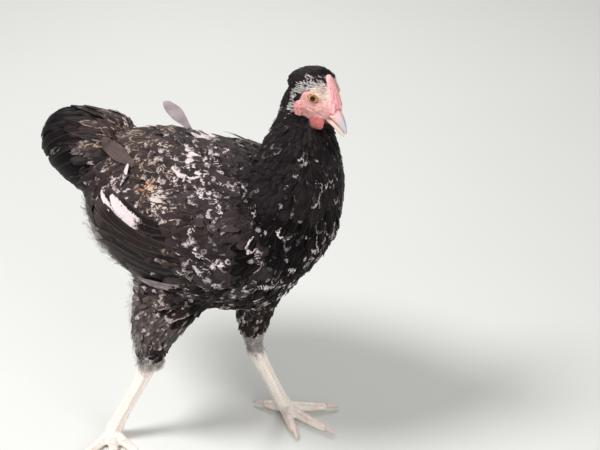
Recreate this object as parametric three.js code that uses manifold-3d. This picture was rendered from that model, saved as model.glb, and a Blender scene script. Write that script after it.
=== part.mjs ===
// A young large-fowl chicken, standing in mid-stride with its head turned a little to its right.
// Millimetres, +X towards the bill, +Y to the bird's left, +Z up. The solids give the outline of the
// plumage, out to the feather tips, and the bare parts: comb, face, bill, shanks, toes and claws.
import * as THREE from "three";
import { mergeVertices } from "three/addons/utils/BufferGeometryUtils.js";
import Module from "manifold-3d";

const wasm = await Module();
wasm.setup();

// ---------------------------------------------------------------- driving dimensions
const GAP = 0.4; // clearance between neighbouring solids
const HEAD_TURN = [-3, 21, -24]; // degrees: roll, bill down, and turned to the bird's right
const EYE_DIAMETER = 13;
const EYE_PLACE = [1.5, 10.4, 0]; // the left eye's centre in the head's frame
const COMB_SPREAD = 4.3; // from the middle ridge of the comb to the outer ones
const TOE_LENGTH = { middle: 54, inner: 40, outer: 44, hind: 22 };
const TOE_SPREAD = { middle: 0, inner: 36, outer: -44, hind: 160 }; // degrees inwards from the foot's heading
const CLAW_LENGTH = 11;

const LOOKS = {
  plumage: { color: 0x1d1a1b, roughness: 0.55 },
  skin: { color: 0xd9655f, roughness: 0.6 },
  horn: { color: 0xc9b8a6, roughness: 0.4 },
  eye: { color: 0xc8752a, roughness: 0.08 },
  scale: { color: 0xe9dccf, roughness: 0.5 },
};

const bird = new THREE.Group();

function add(parent, name, look, geometry) {
  const mesh = new THREE.Mesh(geometry, new THREE.MeshStandardMaterial({ metalness: 0, ...LOOKS[look] }));
  mesh.name = name;
  parent.add(mesh);
  return mesh;
}

// ---------------------------------------------------------------- solids and cuts
function solidOf(geometry) {
  const bare = geometry.clone();
  bare.deleteAttribute("normal");
  bare.deleteAttribute("uv");
  const merged = mergeVertices(bare, 1e-3);
  return new wasm.Manifold(
    new wasm.Mesh({
      numProp: 3,
      vertProperties: new Float32Array(merged.attributes.position.array),
      triVerts: new Uint32Array(merged.index.array),
    }),
  );
}

function geometryOf(solid) {
  const pieces = solid.decompose();
  const largest = pieces.reduce((a, b) => (b.volume() > a.volume() ? b : a));
  const mesh = largest.simplify(0.1).getMesh();
  return new THREE.BufferGeometry()
    .setAttribute("position", new THREE.BufferAttribute(new Float32Array(mesh.vertProperties), 3))
    .setIndex(new THREE.BufferAttribute(new Uint32Array(mesh.triVerts), 1));
}

// A rounded form along a curve. Each station has its centre and its half sizes across the curve: side, and
// deep, which is one number or [above, below]. The two ends of a capsule become the ends of the form.
function form(stations, { sides = 20, rings = 12, cap = 0.2, grow = 0 } = {}) {
  const [above, below] = [0, 1].map((k) => (s) => [s.deep].flat()[k] ?? s.deep);
  const curve = (points) => new THREE.CatmullRomCurve3(points, false, "centripetal");
  const centre = curve(stations.map((s) => new THREE.Vector3(...s.at)));
  const sizes = curve(stations.map((s) => new THREE.Vector3(s.side, above(s), below(s))));
  const capRings = Math.max(3, Math.round(rings * cap * 1.6));
  const capsule = new THREE.CapsuleGeometry(cap, 1 - 2 * cap, capRings, sides, rings);
  const place = capsule.attributes.position;
  const left = new THREE.Vector3(0, 1, 0);
  for (let i = 0; i < place.count; i++) {
    const [x, y, z] = [place.getX(i) / cap, place.getY(i), place.getZ(i) / cap];
    const t = THREE.MathUtils.clamp(y + 0.5, 0, 1);
    const along = centre.getTangent(t);
    const side = left.clone().addScaledVector(along, -along.dot(left)).normalize();
    const up = along.clone().cross(side);
    const size = sizes.getPoint(t);
    const end = Math.max(0, Math.abs(y) - (0.5 - cap)) / cap;
    const p = centre
      .getPoint(t)
      .addScaledVector(side, z * (size.x + grow))
      .addScaledVector(up, x * ((x > 0 ? size.y : size.z) + grow))
      .addScaledVector(along, Math.sign(y) * grow * end);
    place.setXYZ(i, p.x, p.y, p.z);
  }
  return solidOf(capsule);
}

// The room a form takes up in its neighbours, and the two moves that booleans need.
const roomFor = (stations, options) => form(stations, { ...options, grow: GAP });
const cut = (solid, ...others) => others.reduce((left, other) => left.subtract(other), solid);
const seenFrom = (group, solid) => solid.transform(group.matrix.clone().invert().elements);

// ---------------------------------------------------------------- trunk, neck and tail
const TRUNK = { sides: 24, rings: 9, cap: 0.32 };
const trunkStations = [
  { at: [-118, 0, 268], side: 38, deep: [44, 56] },
  { at: [-74, 0, 254], side: 60, deep: [79, 70] },
  { at: [-18, 0, 238], side: 69, deep: [80, 82] },
  { at: [36, 0, 238], side: 70, deep: [84, 81] },
  { at: [78, 0, 260], side: 60, deep: [69, 57] },
  { at: [107, 0, 288], side: 45, deep: [47, 41] },
  { at: [129, 0, 303], side: 27, deep: [26, 26] },
];

const NECK = { sides: 18, rings: 7, cap: 0.12 };
const neckStations = [
  { at: [74, 0, 276], side: 60, deep: [42, 56] },
  { at: [92, 0, 312], side: 46, deep: [37, 45] },
  { at: [99, 1, 344], side: 31, deep: [33, 28] },
  { at: [95, 4, 367], side: 19, deep: [25, 16] },
  { at: [86, 9, 393], side: 11, deep: [12, 8] },
];

const TAIL = { sides: 16, rings: 5, cap: 0.3 };
const tailStations = [
  { at: [-149, 0, 266], side: 26, deep: [26, 24] },
  { at: [-132, 0, 281], side: 37, deep: [38, 42] },
  { at: [-106, 0, 284], side: 44, deep: [40, 44] },
  { at: [-70, 0, 278], side: 50, deep: [48, 32] },
];

// ---------------------------------------------------------------- head, in its own frame between the eyes
const HEAD = { sides: 16, rings: 7, cap: 0.22 };
const headStations = [
  { at: [-33, 0, -12], side: 13, deep: [6.5, 16] },
  { at: [-21, 0, -4], side: 16.8, deep: [12, 28] },
  { at: [-6, 0, -1], side: 16.6, deep: [20.3, 32] },
  { at: [9, 0, -4], side: 13.4, deep: [11.5, 23] },
  { at: [24, 0, -10], side: 7.5, deep: [3, 7] },
];
const headGroup = new THREE.Group();
headGroup.position.set(115.4, -4.4, 391.8);
headGroup.rotation.set(...HEAD_TURN.map(THREE.MathUtils.degToRad), "ZYX");
headGroup.updateMatrix();

const BILL = { sides: 10, rings: 5, cap: 0.18 };
const upperBill = [
  { at: [11, 0, -7], side: 7, deep: [6, 4] },
  { at: [22, 0, -8], side: 5.9, deep: [6.4, 3.2] },
  { at: [31, 0, -9.4], side: 4, deep: [4.7, 2.6] },
  { at: [37.6, 0, -13.4], side: 1.5, deep: [1.9, 1.4] },
];
const lowerBill = [
  { at: [11, 0, -14], side: 5.8, deep: [2.6, 3.8] },
  { at: [24, 0, -14.2], side: 4.7, deep: [2.4, 3.2] },
  { at: [37, 0, -16.8], side: 2.1, deep: [1.5, 1.7] },
];

// ---------------------------------------------------------------- wings, folded over the sides
const WING = { sides: 20, rings: 7, cap: 0.2 };
const wingStations = (hand) => [
  { at: [-92, hand * 38, 260], side: 12, deep: [12, 14] },
  { at: [-66, hand * 44, 253], side: 28, deep: [30, 36] },
  { at: [-24, hand * 45, 246], side: 35, deep: [48, 56] },
  { at: [26, hand * 45, 244], side: 37, deep: [56, 62] },
  { at: [68, hand * 40, 256], side: 34, deep: [44, 50] },
  { at: [102, hand * 30, 274], side: 22, deep: [22, 26] },
];

// ---------------------------------------------------------------- legs
const THIGH = { sides: 14, rings: 5, cap: 0.1 };
const SHANK = { sides: 10, rings: 6, cap: 0.06 };
const TOE = { sides: 7, rings: 3, cap: 0.14 };
const CLAW = { sides: 5, rings: 3, cap: 0.16 };
const TOE_HEIGHT = 4.6; // middle of a toe above the floor, which flattens its pads

// hand is -1 on the bird's right and 1 on its left. The right leg is behind, its foot turned out.
const legs = [
  {
    name: "r",
    hand: -1,
    footHeading: -60,
    ankle: [-70, -55, 8],
    hock: [-34, -45, 90],
    thigh: [
      { at: [-8, -36, 196], side: 27, deep: [44, 42] },
      { at: [-19, -44, 154], side: 26, deep: [29, 31] },
      { at: [-28, -46, 122], side: 19, deep: [18, 22] },
      { at: [-31, -46, 100], side: 13.5, deep: [14, 14] },
      { at: [-34, -45, 86], side: 9.5, deep: [10, 10] },
    ],
  },
  {
    name: "l",
    hand: 1,
    footHeading: -16,
    ankle: [65, 53, 8],
    hock: [42, 31, 84],
    thigh: [
      { at: [50, 34, 186], side: 27, deep: [34, 40] },
      { at: [43, 38, 148], side: 25, deep: [23, 27] },
      { at: [40, 34, 118], side: 18, deep: [17, 20] },
      { at: [41, 31, 97], side: 13, deep: [12, 14] },
      { at: [42, 30, 81], side: 9.2, deep: [10, 10] },
    ],
  },
];

function shankStations({ hock, ankle }) {
  const from = new THREE.Vector3(...hock);
  const to = new THREE.Vector3(...ankle);
  const at = (t) => from.clone().lerp(to, t).toArray();
  return [
    { at: at(-0.06), side: 7.2, deep: [8, 8] },
    { at: at(0.12), side: 6.8, deep: [7.4, 8] },
    { at: at(0.5), side: 5.7, deep: [6.2, 6.6] },
    { at: at(0.84), side: 6.8, deep: [6.8, 6.8] },
    { at: at(1.02), side: 8.8, deep: [8.2, 8.2] },
  ];
}

// A toe and its claw run out from the ankle along the toe's own heading, the toe over two swollen pads.
const outAlong = (heading) => (r, z) => [r * Math.cos(heading), r * Math.sin(heading), z];

function toeStations(length, heading) {
  const out = outAlong(heading);
  return [
    { at: out(1, TOE_HEIGHT + 1.5), side: 6.2, deep: 6.2 },
    { at: out(length * 0.34, TOE_HEIGHT), side: 4.9, deep: 5.2 },
    { at: out(length * 0.66, TOE_HEIGHT - 0.8), side: 4.3, deep: 4.6 },
    { at: out(length, TOE_HEIGHT - 1), side: 3.3, deep: 3.6 },
  ];
}

function clawStations(length, heading) {
  const out = outAlong(heading);
  return [
    { at: out(length - 2, TOE_HEIGHT + 0.4), side: 2.3, deep: 2.4 },
    { at: out(length + CLAW_LENGTH * 0.5, TOE_HEIGHT), side: 1.8, deep: 1.9 },
    { at: out(length + CLAW_LENGTH, 1.6), side: 0.6, deep: 0.7 },
  ];
}

// ---------------------------------------------------------------- the feathered body
const floor = solidOf(new THREE.BoxGeometry(2000, 2000, 400).translate(0, 0, -200));
const trunkRoom = roomFor(trunkStations, TRUNK);
const neckRoom = roomFor(neckStations, NECK);
const tailRoom = roomFor(tailStations, TAIL);

add(bird, "trunk", "plumage", geometryOf(form(trunkStations, TRUNK)));
add(bird, "neck", "plumage", geometryOf(cut(form(neckStations, NECK), trunkRoom)));
add(bird, "tail", "plumage", geometryOf(cut(form(tailStations, TAIL), trunkRoom)));

function addLeg({ name, hand, footHeading, ankle, hock, thigh }) {
  const wing = form(wingStations(hand), WING);
  const wingRoom = roomFor(wingStations(hand), WING);
  const thighRoom = roomFor(thigh, THIGH);
  const shank = shankStations({ hock, ankle });
  add(bird, `wing_${name}`, "plumage", geometryOf(cut(wing, trunkRoom, neckRoom, tailRoom)));
  add(bird, `thigh_${name}`, "plumage", geometryOf(cut(form(thigh, THIGH), trunkRoom, wingRoom)));
  add(bird, `shank_${name}`, "scale", geometryOf(cut(form(shank, SHANK), thighRoom)));

  const foot = new THREE.Group();
  foot.position.set(ankle[0], ankle[1], 0);
  foot.rotation.z = THREE.MathUtils.degToRad(footHeading);
  foot.updateMatrix();
  bird.add(foot);
  let taken = seenFrom(foot, roomFor(shank, SHANK)).add(floor);
  for (const [toe, length] of Object.entries(TOE_LENGTH)) {
    const heading = THREE.MathUtils.degToRad(-hand * TOE_SPREAD[toe]);
    const stations = toeStations(length, heading);
    const toeRoom = roomFor(stations, TOE);
    const claw = form(clawStations(length, heading), CLAW);
    add(foot, `toe_${toe}_${name}`, "scale", geometryOf(cut(form(stations, TOE), taken)));
    add(foot, `claw_${toe}_${name}`, "horn", geometryOf(cut(claw, toeRoom, floor)));
    taken = taken.add(toeRoom);
  }
}
legs.forEach(addLeg);

// ---------------------------------------------------------------- head and its parts, in the head's frame
bird.add(headGroup);
const headRoom = roomFor(headStations, HEAD);
const upperRoom = roomFor(upperBill, BILL);
const lowerRoom = roomFor(lowerBill, BILL);
const neckThere = seenFrom(headGroup, neckRoom);

function eyeBall(hand, radius) {
  const [x, y, z] = EYE_PLACE;
  return solidOf(new THREE.SphereGeometry(radius, 12, 7).translate(x, hand * y, z));
}

const sockets = [-1, 1].map((hand) => eyeBall(hand, EYE_DIAMETER / 2 + GAP));
const head = cut(form(headStations, HEAD), neckThere, upperRoom, lowerRoom, ...sockets);
add(headGroup, "head", "skin", geometryOf(head));
add(headGroup, "bill_upper", "horn", geometryOf(form(upperBill, BILL)));
add(headGroup, "bill_lower", "horn", geometryOf(cut(form(lowerBill, BILL), upperRoom)));

// The comb is a low cushion of three ridges, pointed on the crown and spread over the root of the bill.
function combRidge(side, height) {
  const stations = [
    { at: [-0.8, side * 0.2, 20.2], side: 1.4, deep: [1.2, 3] },
    { at: [5.8, side * 0.7, 12], side: 2.3, deep: [height, 5] },
    { at: [13.8, side, 4], side: 2.6, deep: [height, 6] },
    { at: [24.4, side * 0.9, -6.2], side: 2.6, deep: [height * 0.8, 5] },
  ];
  return form(stations, { sides: 7, rings: 3, cap: 0.2 });
}
const ridges = combRidge(0, 2.9).add(combRidge(-COMB_SPREAD, 2.3)).add(combRidge(COMB_SPREAD, 2.3));
add(headGroup, "comb", "skin", geometryOf(cut(ridges, headRoom, upperRoom)));

const wattleStations = (hand) => [
  { at: [11, hand * 6, -15], side: 2.4, deep: 6.5 },
  { at: [12.8, hand * 8.2, -20.5], side: 2.8, deep: 8 },
  { at: [14.8, hand * 8, -26.6], side: 2.3, deep: 6.4 },
];
const lobeStations = (hand) => [
  { at: [-8, hand * 16, -11], side: 2.8, deep: 3.6 },
  { at: [-5, hand * 17, -17], side: 3.2, deep: 4.8 },
  { at: [-2, hand * 16, -23.5], side: 2.4, deep: 3.6 },
];
const LAPPET = { sides: 8, rings: 3, cap: 0.24 };
for (const { name, hand } of legs) {
  const wattle = cut(form(wattleStations(hand), LAPPET), headRoom, lowerRoom, neckThere);
  const lobe = cut(form(lobeStations(hand), LAPPET), headRoom, neckThere);
  add(headGroup, `eye_${name}`, "eye", geometryOf(eyeBall(hand, EYE_DIAMETER / 2)));
  add(headGroup, `wattle_${name}`, "skin", geometryOf(wattle));
  add(headGroup, `ear_lobe_${name}`, "skin", geometryOf(lobe));
}

// The origin is on the floor, under the middle of the bird.
const box = new THREE.Box3().setFromObject(bird, true);
bird.position.set(-(box.min.x + box.max.x) / 2, -(box.min.y + box.max.y) / 2, -box.min.z);

export default bird;
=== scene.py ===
# A young black chicken flecked with white, brown and rust, standing in mid-stride with its head turned.
# Metres, +X towards the bill, +Y to the bird's left, +Z up.
import math
from collections import namedtuple

import bmesh
import bpy
import numpy as np
from mathutils import Matrix, Vector, noise
from mathutils.bvhtree import BVHTree


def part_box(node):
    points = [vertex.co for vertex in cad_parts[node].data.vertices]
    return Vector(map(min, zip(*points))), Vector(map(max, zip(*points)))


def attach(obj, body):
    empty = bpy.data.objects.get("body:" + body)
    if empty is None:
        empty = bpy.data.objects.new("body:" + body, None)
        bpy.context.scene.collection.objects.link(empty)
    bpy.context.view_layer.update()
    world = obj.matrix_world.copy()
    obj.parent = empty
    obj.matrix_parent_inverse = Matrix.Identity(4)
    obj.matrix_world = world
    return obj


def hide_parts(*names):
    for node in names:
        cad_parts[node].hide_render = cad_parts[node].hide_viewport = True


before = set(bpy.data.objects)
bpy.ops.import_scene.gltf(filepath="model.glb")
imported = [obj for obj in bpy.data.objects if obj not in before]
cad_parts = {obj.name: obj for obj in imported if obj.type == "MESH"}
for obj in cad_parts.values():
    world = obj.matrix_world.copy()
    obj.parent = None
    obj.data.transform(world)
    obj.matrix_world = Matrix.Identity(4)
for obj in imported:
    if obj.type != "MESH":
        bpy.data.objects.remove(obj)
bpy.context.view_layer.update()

# ---------------------------------------------------------------- camera
# A hand-held camera at the bird's right front, a metre and a half away and looking down on it, with the
# bird left of the middle of the frame.
MM = 0.001
AZIMUTH, ELEVATION = math.radians(25), math.radians(31)
CAMERA_DISTANCE = 1.6
AIM_RIGHT, AIM_UP = 81.6 * MM, 1.2 * MM  # from the body's middle, as the camera sees it
ROLL = math.radians(1.78)
LENS = 104.6
AHEAD_OF_TRUNK = 3.5 * MM  # all places on the body are measured from this far ahead of the trunk's middle

trunk_low, trunk_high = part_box("trunk")
under_trunk = Vector(((trunk_low.x + trunk_high.x) / 2 + AHEAD_OF_TRUNK, (trunk_low.y + trunk_high.y) / 2, 0))


def at(x, y, z):
    """A place in millimetres from the floor under the trunk, a little ahead of its middle."""
    return under_trunk + Vector((x, y, z)) * MM


def looking(place, target):
    turn = (place - target).to_track_quat("Z", "Y")
    return Matrix.Translation(place) @ turn.to_matrix().to_4x4()


def in_scene(name, data):
    piece = bpy.data.objects.new(name, data)
    bpy.context.scene.collection.objects.link(piece)
    return piece


towards_camera = Vector((
    math.sin(AZIMUTH) * math.cos(ELEVATION),
    -math.cos(AZIMUTH) * math.cos(ELEVATION),
    math.sin(ELEVATION),
))
to_the_right = Vector((math.cos(AZIMUTH), math.sin(AZIMUTH), 0))
upwards = towards_camera.cross(to_the_right)
body_middle = at(0, 0, 230)
camera = in_scene("camera", bpy.data.cameras.new("camera"))
camera.data.lens = LENS
aim = body_middle + to_the_right * AIM_RIGHT + upwards * AIM_UP
camera.matrix_world = looking(body_middle + towards_camera * CAMERA_DISTANCE, aim)
camera.matrix_world = camera.matrix_world @ Matrix.Rotation(ROLL, 4, "Z")
bpy.context.scene.camera = camera

# ---------------------------------------------------------------- floor and light
# A plain pale studio floor, lit by a broad soft light high on the camera's left, a weaker one on its
# right, and a narrow one behind that draws the edge of the back.
LIGHTS = {  # place, size across and power
    "key": ((-520, -700, 1600), 0.5, 27),
    "fill": ((1300, -900, 900), 1.2, 12),
    "rim": ((-500, 1100, 1100), 0.6, 7),
}
SKY_STRENGTH, SKY_COLOUR = 0.36, (1.0, 0.98, 0.97, 1)
PALE_FLOOR, PALER_FLOOR = (0.66, 0.67, 0.64), (0.70, 0.70, 0.68)


class Value:
    """A number or a colour that changes over a surface, with the sums that its material does on it."""

    def __init__(self, socket):
        self.socket, self.tree = socket, socket.id_data

    def sum(self, operation, *others):
        return Value(put(self.tree, "Math", dict(enumerate((self, *others))), operation=operation).outputs[0])

    def __add__(self, other):
        return self.sum("ADD", other)

    def __sub__(self, other):
        return self.sum("SUBTRACT", other)

    def __mul__(self, other):
        return self.sum("MULTIPLY", other)

    def __abs__(self):
        return self.sum("ABSOLUTE")

    def or_more(self, other):
        return self.sum("MAXIMUM", other)

    def swayed(self, noise_value, amount):
        """Moved up and down by a noise round one half."""
        return self + (noise_value - 0.5) * amount

    def eased(self, low, high):
        """0 below low, 1 above high, and a smooth step between."""
        limits = {"Value": self, "From Min": low, "From Max": high}
        return Value(put(self.tree, "MapRange", limits, interpolation_type="SMOOTHSTEP").outputs[0])


def put(tree, kind, inputs=None, **settings):
    """Puts down one shader node, with its settings, and its inputs as numbers or as links."""
    node = tree.nodes.new("ShaderNode" + kind)
    for key, value in settings.items():
        setattr(node, key, value)
    for socket, value in (inputs or {}).items():
        if isinstance(value, Value):
            tree.links.new(value.socket, node.inputs[socket])
        else:
            node.inputs[socket].default_value = value
    return node


def blended(share, first, second):
    """The second colour over the first, by share."""
    under, over = (colour if isinstance(colour, Value) else (*colour, 1) for colour in (first, second))
    return Value(put(share.tree, "Mix", {0: share, 6: under, 7: over}, data_type="RGBA").outputs[2])


def noise_at(vector, scale, detail=2.0, rough=0.5):
    inputs = {"Vector": vector, "Scale": scale, "Detail": detail, "Roughness": rough}
    return Value(put(vector.tree, "TexNoise", inputs).outputs[0])


def object_place(tree):
    return Value(put(tree, "TexCoord").outputs["Object"])


def material_of(name, **shader_numbers):
    """A new material, its tree and its shader, with the numbers that are the same all over."""
    material = bpy.data.materials.new(name)
    material.use_nodes = True
    shader = material.node_tree.nodes["Principled BSDF"]
    for socket, value in shader_numbers.items():
        shader.inputs[socket.replace("_", " ")].default_value = value
    return material, material.node_tree, shader


def painted(shader, colour):
    colour.tree.links.new(colour.socket, shader.inputs["Base Color"])


paper, tree, shader = material_of("pale_floor", Roughness=0.9)
painted(shader, blended(noise_at(object_place(tree), 3.0), PALE_FLOOR, PALER_FLOOR))
ground = bmesh.new()
bmesh.ops.create_grid(ground, x_segments=2, y_segments=2, size=4)
floor = in_scene("floor", bpy.data.meshes.new("floor"))
ground.to_mesh(floor.data)
floor.data.materials.append(paper)

for name, (place, size, power) in LIGHTS.items():
    light = bpy.data.lights.new(name, "AREA")
    light.shape, light.size, light.energy = "DISK", size, power
    in_scene(name, light).matrix_world = looking(at(*place), body_middle)
world = bpy.data.worlds.new("studio")
world.use_nodes = True
world.node_tree.nodes["Background"].inputs["Color"].default_value = SKY_COLOUR
world.node_tree.nodes["Background"].inputs["Strength"].default_value = SKY_STRENGTH
bpy.context.scene.world = world
bpy.context.scene.view_settings.view_transform = "Standard"

# ---------------------------------------------------------------- the head's own frame
# Everything on the head is placed from the eyes and the bill's tip: forward, to the left and up from
# the middle between the eyes.
BILL_DROP = math.radians(20.36)  # how far the bill's tip lies below the line of the head
EYES_FORWARD, EYES_OUT = 1.5, 10.4  # the eyes' middles, from the head frame's origin
FACE_MIDDLE, FACE_HALF = (5.5, -8.5), (13.5, 15)  # of the bare face: forward and up, long and high
BARE_HOCK = 98 * MM  # below this the right thigh shows its skin


def box_middle(node):
    low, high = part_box(node)
    return (low + high) / 2


def corners_of(node):
    return [v.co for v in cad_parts[node].data.vertices]


between_eyes = (box_middle("eye_l") + box_middle("eye_r")) / 2
leftward = (box_middle("eye_l") - box_middle("eye_r")).normalized()
bill_tip = max(corners_of("bill_upper"), key=lambda place: (place - between_eyes).length)
to_tip = bill_tip - between_eyes
to_tip = (to_tip - leftward * to_tip.dot(leftward)).normalized()
forward = Matrix.Rotation(-BILL_DROP, 3, leftward) @ to_tip
head_axes = np.array([forward, leftward, forward.cross(leftward)])
head_origin = np.array(between_eyes - forward * EYES_FORWARD * MM)


def on_head(places):
    """Places in the head's frame, in millimetres."""
    return (places - head_origin) @ head_axes.T / MM


def off_head(places):
    return places @ head_axes * MM + head_origin


def within(value, low, high):
    """0 below low and 1 above high, with a smooth step between."""
    t = np.clip((value - low) / (high - low), 0, 1)
    return t * t * (3 - 2 * t)


def beyond_face(x, z):
    """Below 1 on the bare face, seen from the side, 1 at its edge, and more beyond it."""
    along, up = (x - FACE_MIDDLE[0]) / FACE_HALF[0], (z - FACE_MIDDLE[1]) / FACE_HALF[1]
    return (np.abs(along) ** 3 + np.abs(up) ** 3) ** (1 / 3)


def bareness(places, part):
    """1 where the skin is bare: the face, comb, wattles, lobes, shanks and toes."""
    x, y, z = on_head(places).T
    face = 1 - within(beyond_face(x, z), 0.93, 1.05)
    face = face * within(np.abs(y), 3.5, 5.5)  # throat and forehead are feathered along the middle line
    face = np.maximum(face, within(x, 15, 18))  # round the root of the bill it is bare all the way
    face = face * within(z, -28, -25) * within(x, -16, -14)  # the throat and the nape are feathered
    hock = (part == "thigh") & (places[:, 1] < under_trunk.y) & (places[:, 2] < BARE_HOCK)
    bare = np.isin(part, ("comb", "wattle", "ear", "eye", "shank", "toe")) | hock
    return np.where(bare, 1.0, face * np.isin(part, ("head", "neck")))


# ---------------------------------------------------------------- the skin's form
# One skin covers the trunk, neck, head, tail stump, wings, legs and toes without a seam. Under the
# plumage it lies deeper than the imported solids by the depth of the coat; comb, face, wattles, shanks and
# toes are bare, so there it lies at their surface.
SIDES = "rl"
TOES = ("middle", "inner", "outer", "hind")
FEATHERED = ("trunk", "neck", "tail", "wing", "thigh")
GRAIN = 1.25 * MM  # length of one face of the skin, before the bare parts are made finer
CLOSE_GAPS = 0.35 * MM  # each solid grows by this, so that neighbours join
SOFTER, HEAD_SOFTER, BARE_SOFTER = 0.6, 0.5, 0.28  # share of the way to the neighbours' mean, each round
COAT_DEPTH = {"trunk": 5, "neck": 3.4, "tail": 6, "wing": 4.6, "thigh": 4, "head": 1.3}
THINNER_COAT = (((119, 0, 284), 22, 2.4), ((97, 0, 200), 20, -3.0))  # where on the breast, reach, how much
ANKLE = 6 * MM  # height of the shank's lower end
WEB_REACH, WEB_HEIGHTS = 0.36, (3.4 * MM, 5.4 * MM)  # share of the way to the claws; under and upper face

flesh = ["trunk", "neck", "tail", "head", "comb"]
for side in SIDES:
    flesh += [f"{part}_{side}" for part in ("wing", "thigh", "shank", "ear_lobe", "wattle")]
    flesh += [f"toe_{toe}_{side}" for toe in TOES]
eyes = [f"eye_{side}" for side in SIDES]


def from_trunk(places):
    """Millimetres from the floor under the trunk, a little ahead of its middle."""
    return (places - np.array(under_trunk)) / MM


def hill(value, middle, width):
    """1 at the middle, falling off smoothly on both sides."""
    return np.exp(-(((value - middle) / width) ** 2))


def merged(node, grow=0.0):
    """A CAD node's loose triangles as one joined bmesh, grown a little along its normals."""
    solid = bmesh.new()
    solid.from_mesh(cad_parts[node].data)
    bmesh.ops.remove_doubles(solid, verts=solid.verts, dist=1e-6)
    solid.normal_update()
    for vertex in solid.verts:
        vertex.co += vertex.normal * grow
    return solid


def joined(solids):
    """Several bmeshes as one mesh."""
    whole = bmesh.new()
    for solid in solids:
        part = bpy.data.meshes.new("part")
        solid.to_mesh(part)
        whole.from_mesh(part)
        bpy.data.meshes.remove(part)
    mesh = bpy.data.meshes.new("joined")
    whole.to_mesh(mesh)
    return mesh


def with_modifier(mesh, kind, where=None, **settings):
    """The mesh after one modifier, which may work at some vertices only."""
    piece = in_scene("work", mesh)
    if where is not None:
        group = piece.vertex_groups.new(name="where")
        group.add(np.flatnonzero(where).tolist(), 1.0, "REPLACE")
        settings["vertex_group"] = "where"
    modifier = piece.modifiers.new("work", kind)
    for key, value in settings.items():
        setattr(modifier, key, value)
    graph = bpy.context.evaluated_depsgraph_get()
    result = bpy.data.meshes.new_from_object(piece.evaluated_get(graph))
    bpy.data.objects.remove(piece)
    return result


def read(items, what, width=1, kind=np.float64):
    found = np.empty(len(items) * width, kind)
    items.foreach_get(what, found)
    return found.reshape(-1, width) if width > 1 else found


def places_of(mesh):
    return read(mesh.vertices, "co", 3)


def normals_of(mesh):
    return read(mesh.vertices, "normal", 3)


def edges_of(mesh):
    return read(mesh.edges, "vertices", 2, np.int32)


def move_to(mesh, places):
    mesh.vertices.foreach_set("co", places.astype(np.float32).ravel())
    mesh.update()


def relaxed(values, edges, weight, rounds):
    """Each vertex's value moves towards the mean of its neighbours', by its weight, time after time."""
    flat = values.reshape(len(values), -1)
    ends = np.concatenate([edges, edges[:, ::-1]])
    count = np.maximum(np.bincount(ends[:, 0], minlength=len(flat)), 1)[:, None]
    weight = np.broadcast_to(weight, len(flat))[:, None]
    for _ in range(rounds):
        mean = [np.bincount(ends[:, 0], column[ends[:, 1]], len(flat)) for column in flat.T]
        flat = flat + weight * (np.stack(mean, 1) / count - flat)
    return flat.reshape(values.shape)


def web(side, toe):
    """The sheet of skin between the roots of the middle toe and its neighbour."""
    low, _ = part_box(f"shank_{side}")
    near_floor = [place for place in corners_of(f"shank_{side}") if place.z < low.z + ANKLE]
    ankle = sum(near_floor, Vector()) / len(near_floor)
    corners = [ankle] + [ankle.lerp(box_middle(f"claw_{name}_{side}"), WEB_REACH) for name in ("middle", toe)]
    sheet = bmesh.new()
    for corner in corners:
        for height in WEB_HEIGHTS:
            sheet.verts.new((corner.x, corner.y, height))
    bmesh.ops.convex_hull(sheet, input=sheet.verts)
    return sheet


solids = [merged(node, CLOSE_GAPS) for node in flesh + eyes]
owner = np.repeat(np.arange(len(solids)), [len(solid.faces) for solid in solids])
packed_flesh = joined(solids)
solid_tree = BVHTree.FromPolygons(
    [v.co for v in packed_flesh.vertices], [tuple(p.vertices) for p in packed_flesh.polygons]
)
part_names = np.array([name.split("_")[0] for name in flesh + eyes])


def part_at(places):
    """The name of the body part whose solid is the nearest to each place."""
    return part_names[owner[[solid_tree.find_nearest(Vector(p))[2] for p in places]]]


webs = [web(side, toe) for side in SIDES for toe in ("inner", "outer")]
form = with_modifier(joined(solids + webs), "REMESH", mode="VOXEL", voxel_size=GRAIN)
places, edges = places_of(form), edges_of(form)
part = part_at(places)
feathered = np.isin(part, FEATHERED)
softness = np.select([feathered, part == "head"], [SOFTER, HEAD_SOFTER], BARE_SOFTER)
places = relaxed(places, edges, softness, 8)
places = relaxed(places, edges, np.where(feathered, SOFTER, 0.0), 60)
move_to(form, places)
depth = relaxed(np.array([COAT_DEPTH.get(name, 0.0) for name in part]), edges, 0.6, 40)
depth = relaxed(depth * (1 - bareness(places, part)), edges, 0.5, 4)
for middle, reach, amount in THINNER_COAT:
    away = np.linalg.norm(from_trunk(places) * (1, 0.5, 1) - middle, axis=1)
    depth -= amount * hill(away, 0, reach) * (depth > 1)
move_to(form, places - normals_of(form) * depth[:, None] * MM)

# ---------------------------------------------------------------- fineness of the skin
# Where the plumage hides the skin, most of its faces are taken out. Those of the bare face are split, and
# those round the eyes once more, because the lids are only half a millimetre thick.
COARSE_SHARE = 0.3
HEAD_REACH, EYE_REACH = 30, 9.5  # millimetres within which the skin is left fine, and is split again
LOWEST_PLUMAGE, ABOVE_LEGS = 95 * MM, 200 * MM


def finer(mesh, where):
    """Every face with a chosen vertex is split in four."""
    work = bmesh.new()
    work.from_mesh(mesh)
    work.verts.ensure_lookup_table()
    chosen = {face for i in np.flatnonzero(where) for face in work.verts[i].link_faces}
    sides = list({edge for face in chosen for edge in face.edges})
    bmesh.ops.subdivide_edges(work, edges=sides, cuts=1, use_grid_fill=True)
    bmesh.ops.triangulate(work, faces=[face for face in work.faces if len(face.verts) > 4])
    work.to_mesh(mesh)
    mesh.update()
    return mesh


def nearness_to_eye(places):
    """Distance in millimetres to the nearer eye's middle."""
    x, y, z = on_head(places).T
    return np.sqrt((x - EYES_FORWARD) ** 2 + (np.abs(y) - EYES_OUT) ** 2 + z**2)


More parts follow.
